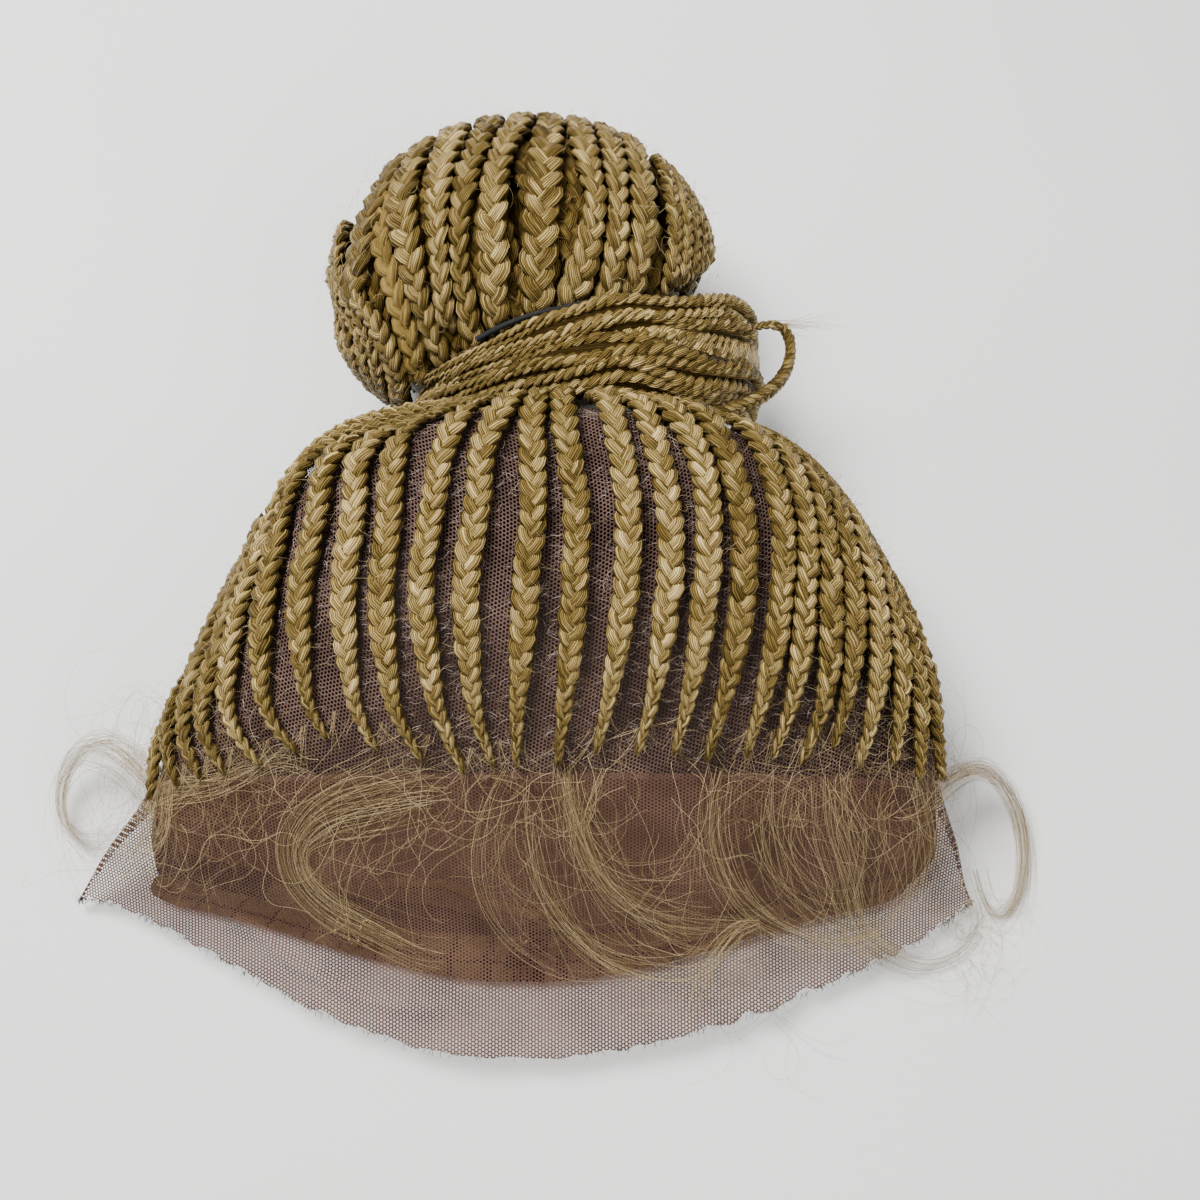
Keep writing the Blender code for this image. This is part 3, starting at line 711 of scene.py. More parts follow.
class Lay(Enum):
    """How the strands of a laid length run.

    Each value holds the number of strands, how far they sway and climb, and the half width and half
    height of one, as shares of the half width and half height of the whole length.
    """

    BRAID = (3, 0.53, 0.42, 0.46, 0.54)
    TWIST = (2, 0.46, 0.46, 0.56, 0.56)


@dataclass
class BraidMaker:
    """Turns a path into a length of braid with real strands."""

    rng: np.random.Generator
    period_mm: float = 20.0
    lanes: int = 16
    rings_per_period: int = 16
    round_mm: float = 3.0
    ridge: float = 0.1
    usual_shade: float = 0.42
    strand_spread: float = 0.07
    lane_spread: float = 0.12
    # painted light and shade round each braid strand: its top lanes lighter, its sides and underside darker
    painted_top_light: float = 0.25

    def lay(self, data: MeshData, path: Array, normals: Array, half_width: Array, half_height: Array,
            lay: Lay = Lay.BRAID, uphill: bool = True, period: float | None = None,
            tone: float = 0.0) -> None:
        """Add one braid or twist to a mesh.

        Args:
            data: mesh that receives it.
            path: centre line, n by 3.
            normals: outward directions along it.
            half_width: half width along it.
            half_height: half height along it.
            lay: three-strand braid or two-strand twist.
            uphill: whether the stitches open towards the start of the path.
            period: length over which a strand returns to its place.
            tone: lighter or darker than the rest, added to each strand.
        """
        period = period or self.period_mm
        path, normals, half_width, half_height = resample(
            path, period / self.rings_per_period, normals, half_width, half_height)
        _, across, up = frames_along(path, normals)
        run = run_along(path)
        local_period = period * (0.7 + 0.3 * half_width / half_width.max())
        ends = np.sqrt(np.clip(np.minimum(run, run[-1] - run) / self.round_mm, 0.01, 1.0))
        turn = np.concatenate([[0.0], np.cumsum(2 * math.pi * np.diff(run) / local_period[1:])])
        start = self.rng.uniform(0, 2 * math.pi)
        wobble = soften(self.rng.normal(0, 1, len(path)), 3)
        strands, sway, climb, broad, tall = lay.value
        wide, high = broad * half_width, tall * half_height
        for strand in range(strands):
            angle = turn + start + 2 * math.pi * strand / strands
            if lay is Lay.BRAID:
                side = sway * half_width * np.sin(angle)
                rise = climb * half_height * np.sin(2 * angle) * (-1.0 if uphill else 1.0)
            else:
                side = sway * half_width * np.cos(angle)
                rise = climb * half_height * np.sin(angle)
            side = side + 0.07 * half_width * wobble
            centre = path + across * side[:, None] + up * rise[:, None]
            swell = ends * self.rng.uniform(0.9, 1.1)
            self.strand(data, centre, up, wide * swell, high * swell, tone)

    def strand(self, data: MeshData, centre: Array, up: Array, wide: Array, high: Array,
               tone: float) -> None:
        """Add one strand of a braid, ridged like a bundle of fibres.

        Args:
            data: mesh that receives it.
            centre: centre line of the strand.
            up: outward directions.
            wide: half width of the strand.
            high: half height of the strand.
            tone: added to its shade.
        """
        _, across, out = frames_along(centre, up)
        angle = 2 * math.pi * np.arange(self.lanes) / self.lanes
        in_and_out = np.where(np.arange(self.lanes) % 2, 1.0, -1.0)
        ridge = 1.0 + self.ridge * in_and_out * self.rng.uniform(0.4, 1.6, self.lanes)
        slow = 1.0 + 0.08 * soften(self.rng.normal(0, 1, len(centre)), 2)
        rings = (centre[:, None]
                 + across[:, None] * (wide * slow)[:, None, None] * (np.cos(angle) * ridge)[None, :, None]
                 + out[:, None] * (high * slow)[:, None, None] * (np.sin(angle) * ridge)[None, :, None])
        run = run_along(centre)
        around = 2 * math.pi * float(np.mean(np.sqrt(wide * high)))
        shade = self.usual_shade + tone + self.rng.normal(0, self.strand_spread)
        shade = shade + self.lane_spread * self.rng.uniform(-1, 1, self.lanes)
        # painted light and shade: lanes on top of the strand lighter, those at its sides and underneath
        # darker
        shade = shade + self.painted_top_light * np.sin(angle)
        shift = self.rng.uniform(0, 400.0)
        data.add_tube(rings, run + shift, around, np.clip(shade, 0, 1))


def fit_widths(paths: list[Array], half_widths: list[Array], clearance: float) -> list[Array]:
    """Narrow each braid where a neighbour's centre line comes close.

    Args:
        paths: centre lines.
        half_widths: free half widths.
        clearance: gap that is kept on each side, in millimetres.

    Returns:
        The fitted half widths.
    """
    dense = [resample(path, 1.5)[0] for path in paths]
    fitted = []
    for i, path in enumerate(paths):
        others = np.concatenate([other for k, other in enumerate(dense) if k != i])
        nearest = np.array([np.linalg.norm(others - point, axis=1).min() for point in path])
        fitted.append(np.clip(np.minimum(half_widths[i], nearest / 2.0 - clearance), 0.8, None))
    return fitted


HAIR_RADIUS = 0.045


@dataclass
class HairMaker:
    """Makes single hairs as very thin tubes."""

    rng: np.random.Generator
    sides: int = 3

    def hairs(self, data: MeshData, paths: Array, radius: float = HAIR_RADIUS,
              tone: tuple[float, float] = (0.0, 1.0), taper: float = 0.5) -> None:
        """Add many hairs at once.

        Args:
            data: mesh that receives them.
            paths: hairs by points by 3.
            radius: thickness at the root, in millimetres.
            tone: range of shades.
            taper: share of the thickness that is left at the tip.
        """
        hairs, count = paths.shape[:2]
        rough = np.broadcast_to(unit(self.rng.normal(0, 1, (hairs, 1, 3))), paths.shape)
        _, across, up = frames_along(paths, rough)
        angle = 2 * math.pi * np.arange(self.sides) / self.sides
        thin = radius * np.linspace(1.0, taper, count)[None, :, None, None]
        rings = (paths[:, :, None] + thin * (across[:, :, None] * np.cos(angle)[None, None, :, None]
                                             + up[:, :, None] * np.sin(angle)[None, None, :, None]))
        base = (np.arange(hairs) * count * self.sides)[:, None, None]
        ring = (np.arange(count - 1) * self.sides)[None, :, None]
        lane = np.arange(self.sides)[None, None, :]
        nxt = (lane + 1) % self.sides
        quads = np.stack([base + ring + lane, base + ring + nxt,
                          base + ring + self.sides + nxt, base + ring + self.sides + lane], axis=-1)
        shades = tone[0] + (tone[1] - tone[0]) * self.rng.uniform(0, 1, hairs) ** 1.5
        flat = rings.reshape(-1, 3)
        data.add(flat, quads.reshape(-1, 4), flat[:, :2].copy(), np.repeat(shades, count * self.sides))

    def rod(self, data: MeshData, path: Array, radius: float, tone: tuple[float, float] = (0.5, 0.5),
            taper: float = 1.0) -> None:
        """Add one round wire, thread or tooth.

        Args:
            data: mesh that receives it.
            path: middle line, n by 3.
            radius: its thickness from the middle, in millimetres.
            tone: range of shades.
            taper: share of the thickness that is left at the end.
        """
        self.hairs(data, path[None], radius, tone, taper)


# Sub-assemblies

@dataclass
class WigPart:
    """A part of the wig, made with the shared finishes and one source of variation."""

    finishes: Wardrobe
    rng: np.random.Generator


@dataclass
class Cornrows(WigPart):
    """The cornrows on the front of the cap."""

    half_width: float = 4.1
    half_height: float = 2.8
    gap: float = 0.75
    end_half_width: float = 1.0
    taper_per_t: float = 3.0
    period: float = 14.0
    stations: tuple[float, ...] = (2.6, 3.5, 4.5, 5.5)
    # name, t start, t end, phi at 2.6, at 3.5, at 4.5, at 5.5, at the end
    rows: tuple[tuple, ...] = (
        ("cornrow_left_4", 5.85, 6.25, 172.0, 171.0, 169.0, 165.0, 156.0),
        ("cornrow_left_3", 5.50, 6.10, 170.0, 169.0, 167.0, 162.0, 147.2),
        ("cornrow_left_2", 5.25, 6.05, 160.0, 158.0, 157.0, 153.8, 140.5),
        ("cornrow_left_1", 4.90, 6.00, 154.0, 152.0, 150.4, 146.6, 135.0),
        ("cornrow_00", 4.25, 5.95, 150.0, 149.0, 147.5, 138.5, 127.7),
        ("cornrow_01", 3.55, 5.85, 152.0, 146.6, 139.0, 129.5, 121.3),
        ("cornrow_02", 3.30, 5.75, 136.7, 133.4, 129.7, 121.0, 116.4),
        ("cornrow_03", 3.30, 5.85, 129.9, 124.0, 120.5, 113.3, 108.7),
        ("cornrow_04", 3.45, 5.95, 120.0, 116.1, 113.6, 107.6, 102.2),
        ("cornrow_05", 3.30, 6.05, 99.9, 107.0, 107.4, 101.8, 96.9),
        ("cornrow_06", 2.90, 6.00, 94.3, 99.8, 100.8, 97.2, 93.9),
        ("cornrow_07", 2.95, 6.00, 91.3, 92.6, 93.1, 92.5, 91.8),
        ("cornrow_08", 3.05, 6.00, 88.5, 89.0, 89.0, 89.0, 89.0),
        ("cornrow_09", 3.00, 5.90, 80.5, 82.2, 83.4, 84.8, 85.6),
        ("cornrow_10", 3.00, 5.90, 74.1, 76.1, 77.7, 79.7, 81.0),
        ("cornrow_11", 3.05, 5.90, 67.9, 68.5, 72.3, 75.1, 76.4),
        ("cornrow_12", 3.10, 5.95, 59.1, 62.6, 66.2, 70.2, 72.0),
        ("cornrow_13", 3.10, 5.90, 45.9, 53.2, 59.4, 64.3, 66.2),
        ("cornrow_14", 3.35, 5.90, 39.0, 46.6, 54.8, 59.2, 62.0),
        ("cornrow_15", 3.75, 5.95, 36.0, 42.0, 49.3, 53.2, 57.2),
        ("cornrow_16", 3.80, 5.80, 30.0, 36.5, 43.3, 48.8, 51.0),
        ("cornrow_17", 3.95, 5.95, 24.0, 31.0, 36.3, 42.1, 45.5),
        ("cornrow_18", 4.05, 5.90, 17.0, 23.5, 30.3, 34.5, 36.4),
        ("cornrow_19", 4.35, 6.05, 22.0, 25.0, 25.2, 26.6, 28.1),
        ("cornrow_20", 4.75, 6.00, 22.0, 21.5, 20.2, 18.5, 16.3),
    )

    # phi and t from the tie under the wound bundles to the start of each row
    tails: tuple[tuple[str, tuple[tuple[float, float], ...]], ...] = (
        ("cornrow_left_4", ((176.0, 4.9), (174.0, 5.4))),
        ("cornrow_left_3", ((172.0, 4.4), (171.0, 5.0))),
        ("cornrow_left_2", ((164.0, 3.9), (161.0, 4.6))),
        ("cornrow_left_1", ((159.0, 3.6), (155.0, 4.2))),
        ("cornrow_00", ((96.0, 2.3), (104.0, 2.6), (113.0, 2.72), (122.0, 2.8), (131.0, 2.86),
                        (139.0, 2.95), (147.0, 3.2), (150.5, 3.65))),
        ("cornrow_01", ((98.0, 2.4), (107.0, 2.78), (117.0, 2.9), (127.0, 3.0), (136.0, 3.08),
                        (143.5, 3.25))),
        ("cornrow_02", ((100.0, 2.5), (109.0, 2.92), (119.0, 3.02), (128.0, 3.1))),
        ("cornrow_03", ((103.0, 2.6), (112.0, 3.02), (120.0, 3.12))),
        ("cornrow_04", ((104.0, 2.4), (110.0, 2.9), (115.0, 3.2))),
        ("cornrow_05", ((100.0, 2.2), (102.0, 2.75))),
        ("cornrow_06", ((95.0, 2.15), (94.5, 2.5))),
        ("cornrow_07", ((91.0, 2.1), (91.2, 2.6))),
        ("cornrow_08", ((87.5, 2.1), (88.3, 2.6))),
        ("cornrow_09", ((82.0, 2.1), (81.0, 2.6))),
        ("cornrow_10", ((78.0, 2.15), (75.0, 2.6))),
        ("cornrow_11", ((73.0, 2.2), (69.0, 2.65))),
        ("cornrow_12", ((67.0, 2.25), (61.5, 2.7))),
        ("cornrow_13", ((61.0, 2.3), (52.0, 2.7))),
        ("cornrow_14", ((57.0, 2.35), (48.0, 2.75), (42.0, 3.1))),
        ("cornrow_15", ((53.0, 2.4), (44.0, 2.85), (38.0, 3.3))),
        ("cornrow_16", ((49.0, 2.45), (40.0, 2.9), (33.0, 3.35))),
        ("cornrow_17", ((45.0, 2.5), (36.0, 2.95), (28.0, 3.5))),
        ("cornrow_18", ((41.0, 2.6), (32.0, 3.1), (22.0, 3.6))),
        ("cornrow_19", ((37.0, 2.7), (29.0, 3.2), (22.5, 3.8))),
        ("cornrow_20", ((33.0, 2.8), (26.0, 3.4), (21.5, 4.1))),
    )

    def lines(self) -> list[tuple[str, Array, Array, Array]]:
        """Lay out the rows on the cap, each with its tail up to the tie.

        Returns:
            For each row its name, phi and t pairs, points on the net and outward directions.
        """
        tails = dict(self.tails)
        laid = []
        for name, start, end, *phis in self.rows:
            knots = (*self.stations, max(end, self.stations[-1] + 0.05))
            ts = np.linspace(start, end, 24)
            row = np.stack([np.interp(ts, knots, phis), ts], axis=1)
            knots = np.concatenate([np.array(tails[name]), row[1:]])
            spots = spline(knots, 200)
            _, spots = resample(CAP.point(spots[:, 0], spots[:, 1]), 1.8, spots)
            spots = soften(spots, 8)
            laid.append((name, spots, CAP.point(*spots.T), CAP.normal(*spots.T)))
        return laid

    def widths(self, laid: list[tuple[str, Array, Array, Array]]) -> list[Array]:
        """Half width along each row, narrowed between neighbours.

        Args:
            laid: what lines() returned.

        Returns:
            One array for each row.
        """
        free = []
        for _, spots, _, _ in laid:
            ts = spots[:, 1]
            wide = np.minimum(self.half_width, self.end_half_width + (ts[-1] - ts) * self.taper_per_t)
            free.append(wide)
        lifted = [line + normal * (self.half_height + self.gap) for _, _, line, normal in laid]
        return [np.maximum(soften(wide, 3), 1.0) for wide in fit_widths(lifted, free, 0.05)]

    def build(self) -> None:
        """Braid every row."""
        laid = self.lines()
        maker = BraidMaker(self.rng, lanes=12, period_mm=self.period, rings_per_period=11)
        for (name, _, line, normal), wide in zip(laid, self.widths(laid)):
            high = np.minimum(self.half_height, 1.3 + 0.42 * wide)
            path = line + normal * (high + self.gap)[:, None]
            data = MeshData()
            maker.lay(data, path, normal, wide * 1.04, high * 1.04, tone=self.rng.normal(0, 0.03))
            settle(data.build(f"{name}_braid", self.finishes.braid), "braid_hair", name)


@dataclass
class BackRows(WigPart):
    """Cornrows under the head, pressed between the net and the table."""

    places: tuple[float, ...] = (-88.0, -66.0, -44.0, -22.0, 0.0, 22.0, 44.0, 66.0)
    crown_y: float = 26.0
    nape_y: float = -92.0
    steps: int = 30

    def build(self) -> None:
        """Braid every back row inside the space of its solid."""
        maker = BraidMaker(self.rng, lanes=6, rings_per_period=9)
        for number, x in enumerate(self.places, start=1):
            node = f"back_cornrow_{number}"
            top = float(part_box(node)[1][2]) / MM
            lean = (x + 12.0) * 0.12
            ys = np.linspace(self.crown_y, self.nape_y + abs(lean), self.steps)
            xs = x + lean * (self.crown_y - ys) / 100.0
            share = np.linspace(0, 1, self.steps)
            high = np.interp(share, (0, 0.6, 1.0), (min(top, 6.4), 5.8, 4.0)) / 2.0
            wide = np.interp(share, (0, 0.8, 1.0), (5.0, 5.0, 2.4))
            path = np.stack([xs, ys, high * 1.02], axis=1)
            up = np.tile((0.0, 0.0, 1.0), (self.steps, 1))
            data = MeshData()
            maker.lay(data, path, up, wide, high, uphill=False)
            settle(data.build(f"{node}_braid", self.finishes.braid), "braid_hair", node)


@dataclass
class Bun(WigPart):
    """The braid bun: core, laid braids, left coil and right fan."""

    end_b: float = 200.0
    # a along the two outer braids of the left coil, which run up beside the first laid braid
    coil_stations: tuple[float, ...] = (-26.0, 0.0, 24.0, 45.0, 60.0, 75.0, 95.0)
    coil_outer: tuple[tuple[float, ...], ...] = (
        (36.0, 36.5, 36.5, 32.0, 25.5, 23.0, 24.5),
        (41.0, 43.5, 44.5, 40.5, 33.5, 30.0, 31.0),
    )
    coil_tops: tuple[float, float] = (92.0, 66.0)
    # b and a of the inner braid that fills the furrow beside the left coil
    between: tuple[tuple[float, ...], ...] = (
        (14.0, 30.0, 50.0, 66.0, 90.0, 110.0, 128.0), (50.0, 50.5, 49.5, 47.5, 45.5, 49.5, 57.0),
    )
    lift: float = 3.9
    sunk_b: float = 13.0
    sink: float = 5.5
    top_half_width: float = 6.0
    top_half_height: float = 3.1
    top_period: float = 19.0
    top_steps: int = 60
    lobe_half_width: float = 4.6
    lobe_period: float = 13.0
    lobe_steps: int = 80
    # how far the shaded core lies under the laid braids, and the pitch of its inner coils along a
    core_depth: float = 3.0
    coil_pitch: float = 8.8
    coil_reach: tuple[float, float] = (22.0, 300.0)
    stations: tuple[float, ...] = (30.0, 50.0, 70.0, 90.0, 110.0, 135.0)
    # name, b where it starts, a at b = 30, 50, 70, 90, 110 and 135
    braids: tuple[tuple, ...] = (
        ("bun_braid_01", 66.0, 24.0, 26.0, 30.0, 35.0, 43.0, 56.0),
        ("bun_braid_02", 36.0, 62.5, 58.0, 56.5, 56.0, 56.5, 66.0),
        ("bun_braid_03", 56.0, 63.0, 64.2, 65.6, 66.8, 70.0, 76.5),
        ("bun_braid_04", 44.0, 71.0, 71.5, 71.0, 74.0, 80.0, 87.5),
        ("bun_braid_05", 52.0, 79.0, 79.0, 81.0, 83.5, 88.0, 97.0),
        ("bun_braid_06", 53.0, 88.0, 90.5, 94.5, 97.5, 101.5, 105.5),
        ("bun_braid_07", 53.0, 96.0, 100.5, 109.0, 114.0, 112.5, 114.0),
        ("bun_braid_08", 53.0, 103.0, 112.0, 117.5, 120.5, 122.0, 122.5),
        ("bun_braid_09", 53.0, 113.0, 120.0, 127.0, 130.0, 130.5, 131.0),
    )
    # b, a low, a high, thickness
    left_coil: tuple[tuple[float, ...], ...] = (
        (-26.0, 24.0, 44.0, 10.0), (-12.0, 19.0, 46.0, 9.5), (0.0, 16.0, 47.0, 9.0),
        (12.0, 13.0, 48.0, 8.5), (24.0, 11.0, 49.0, 7.5), (36.0, 9.0, 50.0, 7.0),
        (45.0, 8.0, 46.0, 6.5), (52.0, 8.0, 37.0, 6.0), (58.0, 8.0, 28.0, 6.0),
        (64.0, 8.0, 20.0, 6.0), (74.0, 8.0, 21.5, 6.0), (85.0, 8.0, 24.0, 6.0),
        (98.0, 8.0, 29.0, 6.0), (111.0, 8.0, 35.0, 6.0), (124.0, 8.0, 41.0, 6.0),
        (137.0, 8.0, 47.0, 6.0), (152.0, 8.0, 48.0, 6.0), (168.0, 9.0, 48.0, 6.0),
        (184.0, 10.0, 48.0, 6.0), (200.0, 12.0, 48.0, 6.0),
    )
    right_fan: tuple[tuple[float, ...], ...] = (
        (52.0, 132.0, 168.0, 6.5), (66.0, 136.0, 171.0, 6.5), (80.0, 138.5, 172.0, 6.5),
        (94.0, 139.0, 172.0, 6.5), (108.0, 140.0, 172.0, 6.5), (122.0, 140.0, 172.0, 6.5),
        (138.0, 140.0, 172.0, 6.5), (154.0, 140.0, 171.0, 6.5), (170.0, 140.0, 170.0, 6.5),
        (185.0, 140.0, 169.0, 6.5), (200.0, 140.0, 168.0, 6.5),
    )

    def build(self) -> None:
        """Make the bun."""
        self.build_core()
        self.build_braids()
        self.build_lobe("bun_left_coil", self.left_coil, 5, self.coil_outer)
        self.build_lobe("bun_right_fan", self.right_fan, 6, ())

    def build_core(self) -> None:
        """The hair inside the bun, with the coiled braids of its back and underside, drawn in the darker
        braid material as painted shade.
        """
        data = MeshData()
        a = np.linspace(1.0, 179.0, 40)[None, :]
        b = np.linspace(0.0, 360.0, 65)[:-1, None]
        points, _ = BUN.point(a, b, -self.core_depth)
        points[..., 2] = np.maximum(points[..., 2], 1.0)
        grid = np.swapaxes(points, 0, 1)
        uv = np.stack(np.broadcast_arrays(b.T * 0.9, a.T * 1.0), axis=-1)
        data.add_grid(grid, np.broadcast_to(uv, (*grid.shape[:2], 2)), 0.25, closed=True)
        data.add_ends(grid, 0.25)
        maker = BraidMaker(self.rng, lanes=6, rings_per_period=9)
        steps = 130
        for place in np.arange(14.0, 170.0, self.coil_pitch):
            bs = np.linspace(*self.coil_reach, steps)
            drift = 3.0 * np.sin(np.radians(bs) + self.rng.uniform(0, 6.28))
            line, out = BUN.point(place + drift, bs, 0.0)
            line[:, 2] = np.maximum(line[:, 2], 3.0)
            wide = np.full(steps, 4.9) * (0.35 + 0.65 * math.sin(math.radians(place)))
            maker.lay(data, line, out, wide, np.full(steps, 2.8), uphill=False, tone=-0.05)
        steps = 90
        stations, places = self.between
        bs = np.linspace(stations[0], stations[-1], steps)
        line, out = BUN.point(soften(np.interp(bs, stations, places), 8), bs, 2.6)
        maker.lay(data, line, out, np.full(steps, 4.8), np.full(steps, 3.0), uphill=False, tone=0.25)
        settle(data.build("bun_inner_coils", self.finishes.braid_painted_shade), "braid_hair", "bun_core")

    def build_braids(self) -> None:
        """The thick braids that run over the top of the bun."""
        paths, outs = [], []
        for _, start, *places in self.braids:
            bs = np.linspace(start - self.sunk_b, self.end_b + self.sunk_b, self.top_steps)
            line, out = BUN.point(soften(np.interp(bs, self.stations, places), 8), bs,
                                  self.lift - self.sinking(bs, start, self.end_b))
            paths.append(line)
            outs.append(out)
        free = np.full(self.top_steps, self.top_half_width)
        high = np.full(self.top_steps, self.top_half_height)
        widths = fit_widths(paths, [free] * len(paths), 0.0)
        maker = BraidMaker(self.rng, lanes=14, rings_per_period=13)
        for (name, *_), path, out, wide in zip(self.braids, paths, outs, widths):
            data = MeshData()
            wide = soften(wide, 6)
            maker.lay(data, path, out, wide * 1.04, high, uphill=False, period=self.top_period,
                      tone=self.rng.normal(0, 0.04))
            settle(data.build(f"{name}_strands", self.finishes.braid), "braid_hair", name)

    def build_lobe(self, name: str, table: tuple[tuple[float, ...], ...], count: int,
                   outer: tuple[tuple[float, ...], ...]) -> None:
        """A lobe of finer braids beside each other.

        Args:
            name: CAD node.
            table: outline of the lobe on the bun.
            count: number of braids side by side.
            outer: places of the last braids, where they leave the outline.
        """
        rows = np.array(table)
        first, last = rows[0, 0], rows[-1, 0]
        paths, outs = [], []
        for k in range(count):
            own = k - count + len(outer)
            top = self.coil_tops[own] if own >= 0 else last
            bs = np.linspace(first - self.sunk_b, top + self.sunk_b, self.lobe_steps)
            low, high, thick = (np.interp(bs, rows[:, 0], rows[:, j]) for j in (1, 2, 3))
            place = low + (high - low) * (k + 0.5) / count
            if own >= 0:
                place = np.interp(bs, self.coil_stations, outer[own])
            lift = 1.2 + thick * 0.5 - self.sinking(bs, first, top)
            line, out = BUN.point(soften(place, 6), bs, lift)
            paths.append(line)
            outs.append(out)
        free = np.full(self.lobe_steps, self.lobe_half_width)
        widths = fit_widths(paths, [free] * count, 0.0)
        maker = BraidMaker(self.rng, lanes=10, rings_per_period=12)
        data = MeshData()
        for path, out, wide in zip(paths, outs, widths):
            wide = soften(wide, 4)
            maker.lay(data, path, out, wide * 1.06, np.minimum(3.1, wide * 0.9), uphill=False,
                      period=self.lobe_period, tone=self.rng.normal(0, 0.04))
        settle(data.build(f"{name}_strands", self.finishes.braid), "braid_hair", name)

    def sinking(self, bs: Array, first: float, last: float) -> Array:
        """Depth by which a braid's ends dive into the bun, before first and after last."""
        past = np.clip(np.maximum(first - bs, bs - last) / self.sunk_b, 0.0, 1.0)
        return self.sink * past ** 1.5


